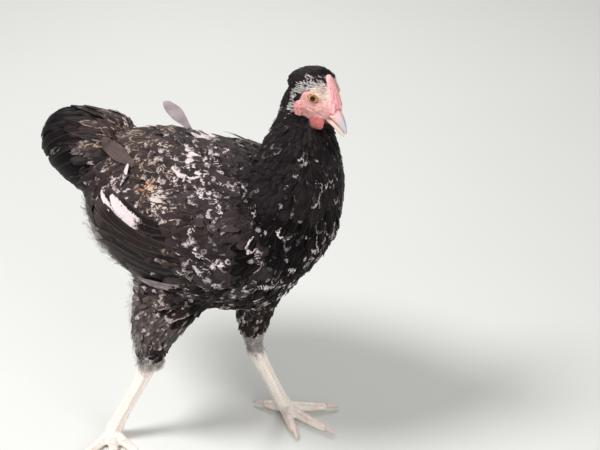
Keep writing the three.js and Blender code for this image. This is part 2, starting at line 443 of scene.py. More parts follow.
under_coat = (bareness(places, part) < 0.01) & (part != "head") & (places[:, 2] > LOWEST_PLUMAGE)
under_coat &= np.linalg.norm(on_head(places), axis=1) > HEAD_REACH
form = with_modifier(form, "DECIMATE", where=under_coat, ratio=COARSE_SHARE)
places = places_of(form)
part = part_at(places)
form = finer(form, (bareness(places, part) > 0.3) & (places[:, 2] > ABOVE_LEGS))
form = finer(form, nearness_to_eye(places_of(form)) < EYE_REACH)
places, edges = places_of(form), edges_of(form)
part = part_at(places)
bare = bareness(places, part)
places = relaxed(places, edges, np.where(bare > 0.1, 0.35, 0.0), 4)

# ---------------------------------------------------------------- lids, comb and folds of the face
# Each lid is a thin ring of skin on the ball of the eye, round an opening a little longer than high. The
# comb is a low cushion with lengthwise ridges. Folds run back from the gape and under the eye.
HANDS = (-1, 1)  # right and left
EYE_AXIS = (0.42, 0.87, 0.26)
EYE_RADIUS = 6.5
OPENING_LONG, OPENING_HIGH = math.radians(50), math.radians(29)  # half of the gap between the lids
FLATTER_ABOVE = 0.14
LID, LID_EDGE, LID_GROOVE = 0.5, 0.25, 0.2  # a lid's thickness on the ball, its raised edge and groove
BEHIND_LID = 1.2  # how deep in the ball the skin of the gap lies
RIM = math.radians(8)
LID_SPREAD = math.radians(30)
COMB_BACK, COMB_LENGTH = -0.8, 23.4
COMB_GROOVES = ((0.5, 0.14, 0.6), (1.3, 0.12, 0.3))  # place across the comb, width and depth
FACE_ROUGH, COMB_ROUGH, LOBE_ROUGH, RIDGE_HIGH = 0.32, 0.12, 0.55, 0.5
FOLDS = (  # from and to, forward and up; depth and width
    ((16, -12), (1, -11), 0.9, 0.9),
    ((14, -15), (0, -15), 0.7, 0.8),
    ((9, -19), (-3, -17), 0.6, 0.8),
    ((11, -4.6), (-5, -6.6), 0.6, 0.8),
    ((9, -7.6), (-6, -9.4), 0.6, 0.8),
    ((17, -6), (5, -15), 0.5, 0.9),
    ((-5.5, 5), (-10, -4), 0.6, 0.9),
    ((12, 4), (16, -6), 0.5, 0.9),
    ((-7, -1), (-11, -13), 0.6, 0.8),
    ((-4, 6.8), (11, 6.4), -0.8, 1.3),
    ((15, -9), (3, -8.6), -0.5, 0.9),
    ((12, -17), (-2, -13), -0.5, 1.0),
)


def eye_middle(hand):
    return np.array((EYES_FORWARD, hand * EYES_OUT, 0))


def eye_angles(q, hand):
    """Angle from the eye's axis, angle round it from the front, and distance from the eye's middle."""
    axis = np.array(EYE_AXIS) * (1, hand, 1)
    axis = axis / np.linalg.norm(axis)
    ahead = np.array((1.0, 0, 0)) - axis[0] * axis
    ahead = ahead / np.linalg.norm(ahead)
    above = np.cross(ahead, axis) * -hand
    from_middle = q - eye_middle(hand)
    distance = np.linalg.norm(from_middle, axis=1)
    off = np.arccos(np.clip(from_middle @ axis / distance, -1, 1))
    return off, np.arctan2(from_middle @ above, from_middle @ ahead), distance


def opening_at(round_it):
    """The half gap in each direction: an oval, a little flatter above than below."""
    across, up = np.cos(round_it) / OPENING_LONG, np.sin(round_it) / OPENING_HIGH
    return (1 - FLATTER_ABOVE * np.sin(round_it)) / np.hypot(across, up)


def wander(places, scale, seed=0.0):
    """Smooth noise from -1 to 1 at each place, scale in waves per millimetre."""
    offset = Vector((seed, -seed, seed * 0.5))
    return np.array([noise.noise(Vector(p) * (scale / MM) + offset) for p in places])


def crease(x, z, start, end, width):
    """1 on the line from start to end in the side view, fading out over the width."""
    a, b = np.array(start), np.array(end)
    p = np.stack([x, z], 1) - a
    t = np.clip(p @ (b - a) / ((b - a) @ (b - a)), 0, 1)
    off = np.linalg.norm(p - t[:, None] * (b - a), axis=1)
    return hill(off, 0, width) * np.sin(np.pi * (0.1 + 0.8 * t))


def along_comb(x):
    """0 at the back of the comb, 1 at its front."""
    return np.clip((x - COMB_BACK) / COMB_LENGTH, 0, 1)


move_to(form, places)
q = on_head(places)
normal = normals_of(form)
x, y, z = q.T
near_head = (np.linalg.norm(q, axis=1) < 45) & (bare > 0.02)
rough = np.zeros(len(q))
rough[near_head] = wander(places[near_head], 0.55) + 0.7 * wander(places[near_head], 1.3, 7.0)
relief = np.zeros(len(q))
face = near_head & np.isin(part, ("head", "neck", "eye"))
for start, end, deep, width in FOLDS:
    relief -= deep * crease(x, z, start, end, width) * face * within(np.abs(y), 4, 7)
relief += FACE_ROUGH * rough * bare * face
comb = part == "comb"
across_comb = np.abs(y) / (1.0 + 3.9 * along_comb(x))  # the ridges lie wider apart towards the front
grooves = sum(deep * hill(across_comb, place, width) for place, width, deep in COMB_GROOVES)
ridges = np.zeros(len(q))
stretched = np.stack([x * 0.3, y * 1.2, z * 0.3], 1) * MM
ridges[comb] = wander(stretched[comb], 1.0, 3.0)
relief += comb * (RIDGE_HIGH * ridges - grooves * (0.6 + 0.4 * ridges) + COMB_ROUGH * rough)
relief += np.isin(part, ("wattle", "ear")) * LOBE_ROUGH * rough
places = places + normal * relief[:, None] * MM

q = on_head(places)
lid_rim_glint, lash = np.zeros(len(q)), np.zeros(len(q))
for hand in HANDS:
    off, round_it, distance = eye_angles(q, hand)
    opening = opening_at(round_it)
    mine = (distance < 12) & (off < opening + RIM + LID_SPREAD)
    past = off - opening
    lid = EYE_RADIUS + LID + LID_EDGE * hill(past, 1.9 * RIM, 0.5 * RIM)
    lid -= LID_GROOVE * hill(past, 1.2 * RIM, 0.4 * RIM)
    settled = lid + (np.maximum(distance, EYE_RADIUS + 0.4) - lid) * within(past, RIM, RIM + LID_SPREAD)
    settled = np.where(past < 0, EYE_RADIUS - BEHIND_LID, settled)
    new = eye_middle(hand) + (q - eye_middle(hand)) * (settled / distance)[:, None]
    q = np.where(mine[:, None], new, q)
    edge = mine * (1 - within(past, 0.3 * RIM, 1.3 * RIM))
    # painted highlight: the lower half of each lid's rim is pale yellow, partly the lid's colour and partly
    # the glint on its wet edge
    lid_rim_glint = np.maximum(lid_rim_glint, edge * within(-np.sin(round_it), -0.3, 0.3))
    lash = np.maximum(lash, edge * within(np.sin(round_it), -0.15, 0.35))
places = off_head(q)
move_to(form, places)

# ---------------------------------------------------------------- markings
# Skin and coat carry the same markings. Each is a soft blot about a place on the body, in millimetres
# from the floor under the trunk, alike on both sides: place, reach, and how white, brown, rusty.
BLOTS = (
    ((-13, 17, 314), 7.5, (2.5, 0.1, 0.0)), ((-6, 23, 311), 6.5, (2.3, 0.1, 0.0)),
    ((3, 30, 307), 6, (1.1, 0.1, 0.0)), ((-12, 34, 304), 6, (2.2, 0.2, 0.0)),
    ((13, 20, 312), 16, (0.9, 0.0, 0.0)), ((27, 30, 306), 14, (0.85, 0.0, 0.0)),
    ((24, 46, 298), 14, (0.7, 0.0, 0.0)), ((-40, 34, 306), 17, (1.0, 0.9, 0.0)),
    ((-24, 42, 301), 13, (1.1, 0.7, 0.0)), ((-32, 52, 291), 8, (0.3, 0.6, 1.3)),
    ((-17, 58, 291), 8, (1.5, 0.2, 0.05)), ((-28, 62, 284), 16, (0.6, 0.8, 0.5)),
    ((-5, 70, 281), 11, (0.5, 0.7, 0.6)), ((-12, 74, 271), 14, (0.6, 0.7, 0.3)),
    ((-14, 80, 252), 12, (0.42, 0.5, 0.05)), ((-92, 6, 318), 30, (0.3, 0.85, 0.0)),
    ((-62, 22, 309), 24, (0.5, 1.0, 0.0)), ((52, 53, 291), 9, (0.85, 0.0, 0.0)),
    ((62, 54, 286), 7, (0.7, 0.0, 0.0)), ((50, 77, 251), 8, (1.2, 0.0, 0.0)),
    ((32, 80, 238), 9, (0.8, 0.0, 0.0)), ((20, 81, 246), 10, (1.2, 0.0, 0.0)),
    ((15, 80, 228), 12, (1.4, 0.0, 0.0)), ((34, 77, 216), 18, (1.0, 0.0, 0.0)),
    ((62, 64, 210), 18, (0.62, 0.0, 0.0)), ((84, 45, 202), 16, (0.6, 0.0, 0.0)),
    ((83, 57, 268), 12, (0.55, 0.0, 0.0)), ((95, 51, 253), 10, (0.6, 0.0, 0.0)),
    ((104, 45, 240), 11, (1.0, 0.0, 0.0)), ((96, 47, 224), 9, (1.6, 0.0, 0.0)),
    ((75, 66, 235), 13, (0.5, 0.0, 0.0)), ((122, 10, 285), 16, (0.5, 0.0, 0.0)),
    ((118, 18, 318), 12, (0.5, 0.0, 0.0)), ((108, 24, 338), 10, (0.45, 0.0, 0.0)),
    ((-25, 62, 165), 22, (0.5, 0.5, 0.0)), ((-40, 60, 130), 30, (0.6, 0.5, 0.0)),
    ((30, 30, 120), 26, (0.6, 0.5, 0.0)),
)
FLECKED = {"trunk": 0.6, "wing": 0.6, "neck": 0.26, "tail": 0.1, "thigh": 0.7, "head": 0.2}
BROWNED = {"trunk": 0.3, "wing": 0.4, "tail": 0.3, "thigh": 0.3}


def markings(places, part):
    """How white, how brown and how rusty the plumage is at each place. The coat's colours say what
    each amount of white makes."""
    x, y, z = from_trunk(places).T
    marks = np.zeros((len(places), 3))
    marks[:, 0] = [FLECKED.get(name, 0.0) for name in part]
    marks[:, 1] = [BROWNED.get(name, 0.0) for name in part]
    marks[:, 1] *= 1 - within(x, 0, 50)
    for place, reach, amounts in BLOTS:
        away = np.linalg.norm(np.stack([x, np.abs(y), z], 1) - place, axis=1)
        share = hill(away, 0, reach)[:, None]
        marks = marks + share * (np.maximum(np.array(amounts), marks) - marks)
    # white comes and goes in drifts over the body, thins out on the head and gathers above the eye
    drift = np.sin(x / 8 + 1.7 * np.sin(z / 11)) * np.sin(z / 9 + 1.3 * np.sin(x / 13 + 2) + y / 30)
    marks[:, 0] *= 1 + 0.7 * drift
    q = on_head(places)
    above_eye = np.exp(-(((q[:, 0] + 3) / 10) ** 2) - ((q[:, 2] - 9.5) / 4.5) ** 2)
    marks[:, 0] += (np.linalg.norm(q, axis=1) < 40) * (above_eye * 0.85 - marks[:, 0] * 0.6)
    return marks


# ---------------------------------------------------------------- the skin's colours
# Feather-bearing skin is dark like the coat. The face is pink and finely wrinkled, with painted shade in its
# wrinkles, cream between the eye and the comb, the wattles a deeper red, and shanks and toes a dry pinkish
# white.
# The comb carries painted highlights along its ridges and the lower lids a painted glint on their rims.
CREAM, PINK, RED = (0.78, 0.63, 0.56), (0.76, 0.385, 0.37), (0.38, 0.086, 0.084)
PALE_COMB, RED_COMB, WRINKLE_SHADE = (1.0, 0.62, 0.62), (0.95, 0.30, 0.31), (0.50, 0.19, 0.16)
LID_SKIN_AND_GLINT, DARK_LASH = (0.68, 0.48, 0.29), (0.07, 0.03, 0.025)
DRY_SKIN, ROSY_SKIN = (0.95, 0.88, 0.80), (0.88, 0.66, 0.60)
BLACK_SKIN, BROWN_SKIN = (0.012, 0.010, 0.011), (0.040, 0.027, 0.022)
RUSTY_SKIN, WHITE_SKIN = (0.38, 0.14, 0.04), (0.55, 0.47, 0.45)
CREAMY = (  # where, reach, how much
    ((9, 6.5), (6.5, 4), 1.0),
    ((1, 8), (6, 2.5), 0.75),
    ((15, -12), (5, 4), 0.5),
)


def give(mesh, name, values):
    """Stores one value or one vector for each vertex."""
    vector = np.ndim(values) > 1
    layer = mesh.attributes.new(name, "FLOAT_VECTOR" if vector else "FLOAT", "POINT")
    layer.data.foreach_set("vector" if vector else "value", np.asarray(values, np.float32).ravel())


def attribute(tree, name, output="Fac"):
    return Value(put(tree, "Attribute", attribute_name=name).outputs[output])


def split(vector):
    return [Value(socket) for socket in put(vector.tree, "SeparateXYZ", {0: vector}).outputs]


def roughened(shader, height, distance, strength=1.0):
    bump = put(height.tree, "Bump", {"Height": height, "Distance": distance, "Strength": strength})
    height.tree.links.new(bump.outputs[0], shader.inputs["Normal"])


x, y, z = on_head(places).T
flush = np.select([part == "wattle", part == "comb", part == "ear"], [1.12, 0.36, 0.78], 0.5)
# painted highlight and shade: the comb is paler along the tops of its ridges and redder in the grooves
# between
ridge_highlight = np.cos(2 * np.pi * np.abs(y) / (1.0 + 4.3 * along_comb(x)) / 0.87)
flush = flush - 0.26 * ridge_highlight * (part == "comb")
creamy = np.zeros(len(x))
for (ahead, above), (long, high), amount in CREAMY:
    creamy = np.maximum(creamy, amount * np.exp(-(((x - ahead) / long) ** 2) - ((z - above) / high) ** 2))
folds = np.sin(2.3 * z + 0.5 * x + 1.4 * np.sin(0.55 * x + 1)) * within(-z, 2, 6)
on_face = np.clip(flush - 0.62 * creamy + 0.13 * folds, 0, 1)
flush = relaxed(np.where(np.isin(part, ("comb", "wattle", "ear")), flush, on_face), edges, 0.5, 3)
thinly_feathered = (part == "head") & (beyond_face(x, z) < 1.3) & (x > -1) & (z > 0)
give(form, "bare", relaxed(np.maximum(bare, thinly_feathered), edges, 0.5, 2))
give(form, "flush", flush)
give(form, "comb", relaxed((part == "comb") * 1.0, edges, 0.5, 2))
give(form, "scaly", relaxed((bare > 0.5) & (places[:, 2] < ABOVE_LEGS), edges, 0.5, 3))
# the lid attribute holds the painted glint on the lower lids' rims
give(form, "lid", lid_rim_glint)
give(form, "lash", lash)
give(form, "marks", markings(places, part))

hide, tree, shader = material_of("skin", Roughness=0.5, Subsurface_Weight=0.1, Subsurface_Scale=0.0025)
shader.inputs["Subsurface Radius"].default_value = (1.0, 0.4, 0.3)
spot = object_place(tree)
mottle = noise_at(spot, 420, 4, 0.6)
cells = put(tree, "TexVoronoi", {"Vector": spot, "Scale": 900}, feature="DISTANCE_TO_EDGE")
wrinkle = Value(cells.outputs[0])
warmth = attribute(tree, "flush").swayed(mottle, 1.5)
fleshy = blended(warmth.eased(0.0, 0.5), CREAM, PINK)
fleshy = blended(warmth.eased(0.5, 1.1), fleshy, RED)
# the pale end of the comb's colours carries the painted highlights along its ridges
crested = blended(warmth.eased(-0.1, 0.9), PALE_COMB, RED_COMB)
dry = blended(noise_at(spot, 90, 3).eased(0.45, 0.8), DRY_SKIN, ROSY_SKIN)
for share, colour in (
    (attribute(tree, "comb"), crested),
    # painted shade: the fine wrinkle lines of the bare skin are darker and redder
    (wrinkle.eased(0.07, 0.0), WRINKLE_SHADE),
    # painted glint on the lower lids' rims, over the lid's own pale yellow
    (attribute(tree, "lid"), LID_SKIN_AND_GLINT),
    (attribute(tree, "lash"), DARK_LASH),
    (attribute(tree, "scaly"), dry),
):
    fleshy = blended(share, fleshy, colour)
white, brown, rust = split(attribute(tree, "marks", "Vector"))
speck = noise_at(spot, 260, 3)
coated = blended(brown, BLACK_SKIN, BROWN_SKIN)
coated = blended(rust * speck.eased(0.5, 0.6), coated, RUSTY_SKIN)
coated = blended(white.eased(0.5, 1.0) * speck.eased(0.52, 0.6), coated, WHITE_SKIN)
painted(shader, blended(attribute(tree, "bare"), coated, fleshy))
roughened(shader, wrinkle + mottle * 0.4, 0.0005, 0.6)


def finished(piece, slot, *replaced):
    """Every piece rides on the one body and may stand for CAD nodes; the slot is not used."""
    for polygon in piece.data.polygons:
        polygon.use_smooth = True
    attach(piece, "root")
    if replaced:
        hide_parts(*replaced)


form.materials.clear()
form.materials.append(hide)
finished(in_scene("skin", form), "bare_skin", *flesh)

# ---------------------------------------------------------------- eyes
# A wet ball with a bulging clear cornea over an amber iris and a round black pupil. The lids of the skin
# close round it.
PUPIL, IRIS = math.radians(18.5), math.radians(42)
BULGE = 0.06  # how far the cornea stands out, as a share of the ball
AMBER, GOLD = (0.42, 0.15, 0.035), (0.66, 0.34, 0.11)
DARK_AMBER, SHADED_AMBER = (0.14, 0.045, 0.012), (0.13, 0.055, 0.02)
BLACK_PUPIL, IRIS_EDGE, EYE_WHITE = (0.003, 0.002, 0.002), (0.26, 0.12, 0.055), (0.48, 0.33, 0.28)


def eyeball(side, hand):
    ball = bmesh.new()
    bmesh.ops.create_uvsphere(ball, u_segments=48, v_segments=40, radius=EYE_RADIUS)
    axis = Vector(EYE_AXIS)
    axis.y *= hand
    ahead = Vector((1, 0, 0))
    across = axis.normalized().cross(ahead).normalized()
    turn = Matrix((across, axis.normalized().cross(across), axis.normalized())).transposed()
    off, round_it, high = [], [], []
    for vertex in ball.verts:
        angle = vertex.co.angle(Vector((0, 0, 1)), 0.0)
        off.append(angle)
        round_it.append(math.atan2(vertex.co.y, vertex.co.x))
        vertex.co *= 1 + BULGE * max(0.0, 1 - (angle / (1.15 * IRIS)) ** 2)
        vertex.co = turn @ vertex.co
        high.append(vertex.co.z / EYE_RADIUS)
        vertex.co += Vector(eye_middle(hand))
        vertex.co = Vector(off_head(np.array(vertex.co)))
    if turn.determinant() < 0:
        bmesh.ops.reverse_faces(ball, faces=ball.faces)
    mesh = bpy.data.meshes.new(f"eyeball_{side}")
    ball.to_mesh(mesh)
    give(mesh, "off_axis", off)
    give(mesh, "high", high)
    give(mesh, "spoke", np.stack([np.cos(round_it), np.sin(round_it), np.array(off)], 1))
    return mesh


wet, tree, shader = material_of("eye", Roughness=0.3, Coat_Weight=0.22, Coat_Roughness=0.05, IOR=1.36)
off = attribute(tree, "off_axis")
fibre = noise_at(attribute(tree, "spoke", "Vector"), 9.0, 3)
amber = blended(fibre.eased(0.35, 0.65), AMBER, GOLD)
amber = blended(off.eased(PUPIL, PUPIL + 0.09), DARK_AMBER, amber)
# painted shade: the top of the iris is darkened where the upper lid shades it
amber = blended(attribute(tree, "high").eased(0.32, 0.62) * 0.8, amber, SHADED_AMBER)
seen = blended(off.eased(PUPIL - 0.04, PUPIL), BLACK_PUPIL, amber)
seen = blended(off.eased(IRIS - 0.08, IRIS), seen, IRIS_EDGE)
seen = blended(off.eased(IRIS, IRIS + 0.12), seen, EYE_WHITE)
painted(shader, seen)
for side, hand in zip(SIDES, HANDS):
    eye = in_scene(f"eyeball_{side}", eyeball(side, hand))
    eye.data.materials.append(wet)
    finished(eye, "eye", f"eye_{side}")

# ---------------------------------------------------------------- bill and claws
# Horn over bone: the upper bill pink like the comb at its root and bluish white at its hooked tip, partly the
# horn's colour and partly a painted highlight, with a slit of a nostril on each side, the lower bill cream.
# The claws are the same horn, worn blunt.
HORN_GRAIN = 0.42 * MM
NOSTRIL = (20.5, -6.2)  # forward and up, on each side of the upper bill
NOSTRIL_HALF = (2.3, 0.9)
NOSTRIL_DEPTH, NOSTRIL_RIM = 1.1, 0.35
TIP_START, TIP_LENGTH = 25, 12  # the stretch of the bill that narrows to the tip
TIP_NARROWING, TIP_FORWARD, TIP_DOWN = 0.4, 1.8, 1.2  # how far the bill's tip is drawn in and out
HOOK, TIP_LEVEL = 0.4, -13.5  # the upper bill bends this share of the way to the height of its tip
BLUE_START, BLUE_LENGTH = 22, 15  # the stretch over which the horn takes its tip's colour, on the upper bill partly a painted highlight


def horn_of(nodes, rounds):
    """The solids of some nodes as one smooth mesh."""
    solids = joined([merged(node) for node in nodes])
    mesh = with_modifier(solids, "REMESH", mode="VOXEL", voxel_size=HORN_GRAIN)
    move_to(mesh, relaxed(places_of(mesh), edges_of(mesh), 0.4, rounds))
    mesh.materials.clear()
    return mesh


def horn_colours(name, base, tip):
    horn, tree, shader = material_of(name, Roughness=0.38, Coat_Weight=0.2, Coat_Roughness=0.25)
    spot = object_place(tree)
    share = attribute(tree, "tipward").swayed(noise_at(spot, 500, 3), 0.5)
    painted(shader, blended(share.eased(0.05, 0.85), base, tip))
    roughened(shader, noise_at(spot, 1400, 2), 0.0002, 0.4)
    return horn


BILL_HORN = {
    # the upper bill's bluish white tip is partly the horn's colour and partly a painted highlight
    "bill_upper": horn_colours("upper_bill_horn", (0.70, 0.42, 0.39), (0.47, 0.455, 0.52)),
    "bill_lower": horn_colours("lower_bill_horn", (0.70, 0.47, 0.39), (0.66, 0.55, 0.45)),
}
for node, horn in BILL_HORN.items():
    mesh = horn_of([node], 6)
    q = on_head(places_of(mesh))
    tipward = np.clip((q[:, 0] - TIP_START) / TIP_LENGTH, 0, 1) ** 2
    q[:, 1] *= 1 - TIP_NARROWING * tipward
    q[:, 0] += TIP_FORWARD * tipward
    q[:, 2] -= TIP_DOWN * tipward
    if node == "bill_upper":
        q[:, 2] += HOOK * (TIP_LEVEL - q[:, 2]) * tipward
        ahead, above = (q[:, 0] - NOSTRIL[0]) / NOSTRIL_HALF[0], (q[:, 2] - NOSTRIL[1]) / NOSTRIL_HALF[1]
        slit = np.hypot(ahead, above)
        rim = NOSTRIL_RIM * np.exp(-((slit - 1.6) ** 2) * 4)
        q[:, 1] -= np.sign(q[:, 1]) * (NOSTRIL_DEPTH * np.exp(-(slit**4)) - rim)
    give(mesh, "tipward", np.clip((q[:, 0] - BLUE_START) / BLUE_LENGTH, 0, 1))
    move_to(mesh, off_head(q))
    mesh.materials.append(horn)
    finished(in_scene(node + "_horn", mesh), "horn", node)

claw_horn = horn_colours("claw_horn", (0.80, 0.64, 0.55), (0.60, 0.53, 0.47))
for side in SIDES:
    claws = [f"claw_{toe}_{side}" for toe in TOES]
    mesh = horn_of(claws, 3)
    give(mesh, "tipward", within(places_of(mesh)[:, 2], 6 * MM, 1.5 * MM))
    mesh.materials.append(claw_horn)
    finished(in_scene(f"claws_{side}", mesh), "horn", *claws)

# ---------------------------------------------------------------- the lie of the coat
# Feathers grow back from the face, down the neck and breast, and back over wings, back and belly, fan
# round the tail and hang down the thighs. Each guide is a place beside the middle line and a heading,
# forward, outward and up, alike on both sides. Between the guides the heading turns smoothly.
GUIDES = (
    ((68, 10, 372), (-0.45, 0, -1)), ((98, 10, 362), (-0.1, 0, -1)), ((112, 10, 330), (-0.05, 0, -1)),
    ((62, 20, 330), (-0.6, 0.1, -0.8)), ((90, 28, 330), (-0.25, 0.1, -1)),
    ((122, 10, 295), (-0.15, 0, -1)), ((52, 30, 305), (-0.9, 0.15, -0.4)),
    ((86, 46, 295), (-0.5, 0.15, -0.85)), ((116, 20, 250), (-0.4, 0, -0.9)),
    ((94, 50, 250), (-0.6, 0.1, -0.75)), ((90, 20, 200), (-0.8, 0, -0.6)),
    ((55, 30, 170), (-1, 0, -0.15)), ((0, 30, 158), (-1, 0, 0.05)), ((-60, 30, 180), (-1, 0, 0.35)),
    ((-90, 20, 215), (-0.85, 0, 0.5)), ((20, 8, 320), (-1, 0, -0.05)), ((-40, 8, 318), (-1, 0, 0.05)),
    ((-80, 10, 322), (-1, 0, 0.1)), ((60, 66, 262), (-0.85, 0, -0.5)), ((40, 80, 240), (-0.95, 0, -0.2)),
    ((0, 82, 240), (-1, 0, 0.05)), ((-40, 80, 245), (-1, -0.15, 0.3)),
    ((-74, 65, 258), (-0.8, -0.5, 0.5)), ((20, 50, 300), (-0.95, 0.1, -0.3)),
    ((-30, 50, 297), (-0.9, 0.2, -0.4)), ((-70, 40, 295), (-0.85, 0.25, -0.4)),
    ((40, 70, 195), (-0.95, 0, -0.1)), ((-40, 60, 195), (-1, 0, 0.25)), ((-110, 15, 322), (-1, 0, 0)),
    ((-140, 15, 308), (-0.75, 0, -0.65)), ((-160, 12, 285), (-0.1, 0, -1)),
    ((-150, 30, 265), (-0.3, 0, -1)), ((-112, 42, 280), (-0.85, 0.1, -0.5)),
    ((-130, 12, 245), (-0.6, 0, -0.6)), ((-30, 60, 165), (-0.45, 0, -0.9)),
    ((-38, 60, 135), (-0.3, 0, -1)), ((-43, 55, 100), (-0.3, 0, -1)), ((40, 35, 160), (-0.4, 0, -0.9)),
    ((33, 30, 130), (-0.1, 0, -1)), ((32, 30, 100), (-0.05, 0, -1)), ((-60, 60, 50), (-0.35, 0, -1)),
    ((45, 45, 50), (0.3, 0.3, -1)),
)
guide_places = np.array([place for place, _ in GUIDES], float)
guide_headings = np.array([heading for _, heading in GUIDES])
guide_headings /= np.linalg.norm(guide_headings, axis=1)[:, None]
GUIDE_SOFTNESS = 150  # square millimetres
HEAD_LIE = (-1.0, 0.0, -0.45)  # in the head's frame, where the coat lies so all over the skull
SKULL_MIDDLE, SKULL_EDGE, SKULL_END = (-8, 0, -4), 22, 36
TOE_TOPS, ANKLE_TOP = 13 * MM, 8 * MM


def unit(vectors):
    return vectors / np.maximum(np.linalg.norm(vectors, axis=-1, keepdims=True), 1e-12)


def ankle_of(side):
    corners = np.array(corners_of(f"shank_{side}"))
    return corners[corners[:, 2] < ANKLE_TOP].mean(0)


ankles = {side: ankle_of(side) for side in SIDES}


def lie_at(places, normals):
    """The heading of the coat at each place, along the skin."""
    there = from_trunk(places)
    side = np.sign(there[:, 1])
    there[:, 1] = np.abs(there[:, 1])
    apart = ((there[:, None] - guide_places) ** 2).sum(2)
    heading = (1 / (apart + GUIDE_SOFTNESS) ** 2) @ guide_headings
    heading[:, 1] *= side
    heading = unit(heading)
    from_skull = np.linalg.norm(on_head(places) - SKULL_MIDDLE, axis=1)
    near = 1 - within(from_skull, SKULL_EDGE, SKULL_END)
    heading += near[:, None] * (np.array(HEAD_LIE) @ head_axes * 3 - heading)
    ankle = np.where(places[:, 1:2] < under_trunk.y, ankles["r"], ankles["l"])
    outward = unit((places - ankle) * (1, 1, 0))
    heading = np.where(places[:, 2:] < TOE_TOPS, outward, heading)
    return unit(heading - (heading * normals).sum(1)[:, None] * normals)


form.calc_loop_triangles()
skin_corners = read(form.loop_triangles, "vertices", 3, np.int32)
skin_places, skin_normals = places_of(form), normals_of(form)
skin_tree = BVHTree.FromPolygons(skin_places.tolist(), skin_corners.tolist())
corner_places = skin_places[skin_corners]
patch_normals = unit(skin_normals[skin_corners].mean(1))
patch_middles = corner_places.mean(1)
first_sides, last_sides = corner_places[:, 1] - corner_places[:, 0], corner_places[:, 2] - corner_places[:, 0]
patch_areas = np.linalg.norm(np.cross(first_sides, last_sides), axis=1) / 2


def on_skin(places):
    """The nearest place on the skin to each place, and the skin's normal there."""
    hits = [skin_tree.find_nearest(Vector(p)) for p in places]
    return np.array([hit[0] for hit in hits]), patch_normals[[hit[2] for hit in hits]]


def paths_from(roots, lengths, twist, steps=6, free=1.0, droop=0.0):
    """Walks along the lie of the coat from each root. Past the free share it leaves the skin and droops."""
    place, heading, normal, found = roots, None, None, []
    for step in range(steps + 1):
        if step <= free * steps or step < 2:
            place, normal = on_skin(place)
            lie = lie_at(place, normal)
            side = np.cross(lie, normal)
            lie = lie * np.cos(twist)[:, None] + side * np.sin(twist)[:, None]
            heading = lie if heading is None else unit(heading + lie)
        else:
            heading = unit(heading - np.array((0, 0, droop)))
        normal = unit(normal - (normal * heading).sum(1)[:, None] * heading)
        found.append(np.stack([place, normal, heading], 1))
        place = place + heading * (lengths / steps)[:, None]
    return np.stack(found, 1)


def strung(curves, heights=None, steps=8):
    """Paths through a root, a middle and a tip, in millimetres from the trunk, at a height over the skin
    or, without heights, through the air."""
    root, middle, tip = np.moveaxis(np.array(curves, float), 1, 0)[:, :, None]
    t = np.linspace(0, 1, steps + 1)[:, None]
    bend = 2 * middle - (root + tip) / 2
    place = (1 - t) ** 2 * root + 2 * t * (1 - t) * bend + t**2 * tip
    place = place * MM + np.array(under_trunk)
    skin, normal = (part.reshape(place.shape) for part in on_skin(place.reshape(-1, 3)))
    if heights is not None:
        low, high = (np.broadcast_to(height, len(place))[:, None, None] for height in heights)
        place = skin + normal * (low + (high - low) * t) * MM
    heading = unit(np.gradient(place, axis=1))
    normal = unit(normal - (normal * heading).sum(2)[..., None] * heading)
    return np.stack([place, normal, heading], 2)


def sized(size, places):
    """A size at each place, from one number or from a rule."""
    return size(places) if callable(size) else np.full(len(places), float(size))


def scattered(where, spacing, rng):
    """Roots set out at random over some patches of skin, none nearer to the next than the spacing."""
    patches = np.flatnonzero(where)
    gap = sized(spacing, patch_middles[patches]) * MM
    density = patch_areas[patches] / gap**2
    pick = rng.choice(patches, int(4 * density.sum()), p=density / density.sum())
    a, b = rng.random((2, len(pick)))
    a, b = np.where(a + b > 1, 1 - a, a)[:, None], np.where(a + b > 1, 1 - b, b)[:, None]
    places = corner_places[pick, 0] + a * first_sides[pick] + b * last_sides[pick]
    gaps = sized(spacing, places) * MM
    cell = gaps.max()
    taken, kept = {}, []
    for i, (place, gap) in enumerate(zip(places, gaps)):
        home = tuple(int(c) for c in place // cell)
        near = [
            other
            for dx in (-1, 0, 1) for dy in (-1, 0, 1) for dz in (-1, 0, 1)
            for other in taken.get((home[0] + dx, home[1] + dy, home[2] + dz), ())
        ]
        if all(((place - other) ** 2).sum() > gap * gap for other in near):
            taken.setdefault(home, []).append(place)
            kept.append(i)
    return places[kept]


# ---------------------------------------------------------------- one feather and one wisp of down
# A contour feather is a cambered vane on a shaft, its barbs swept towards the tip. A wisp of down is a fan
# of thin loose barbs. Each pattern is laid out flat, and then along a path over the body.
Pattern = namedtuple("Pattern", "across along rim faces beside")  # each vertex's place, and the faces
MANY, CELLS, FEW_CELLS = 60, 220, 10  # cells along each side of the bake's map, for many feathers or few
PATCH = 0.8  # size of one feather in its cell


def vane(columns, rows, blunt=0.55, base=0.3, tip=0.12):
    """One flat feather: from where it rounds off, and its width at the root and at the tip."""
    grid = bmesh.new()
    bmesh.ops.create_grid(grid, x_segments=columns, y_segments=rows, size=1)
    place = np.array([v.co for v in grid.verts])
    faces = np.array([[v.index for v in face.verts] for face in grid.faces])
    beside = place[:, 0]
    along = 1 - (1 - (place[:, 1] + 1) / 2) ** 1.3
    past = np.clip((along - blunt) / (1 - blunt), 0, 1)
    width = (base + (1 - base) * within(along, 0, 0.5)) * np.maximum(np.sqrt(1 - past**2), tip)
    rim = np.sqrt(beside**2 * (1 - past**2) + past**2)
    return Pattern(beside * width, along, rim, faces, beside)


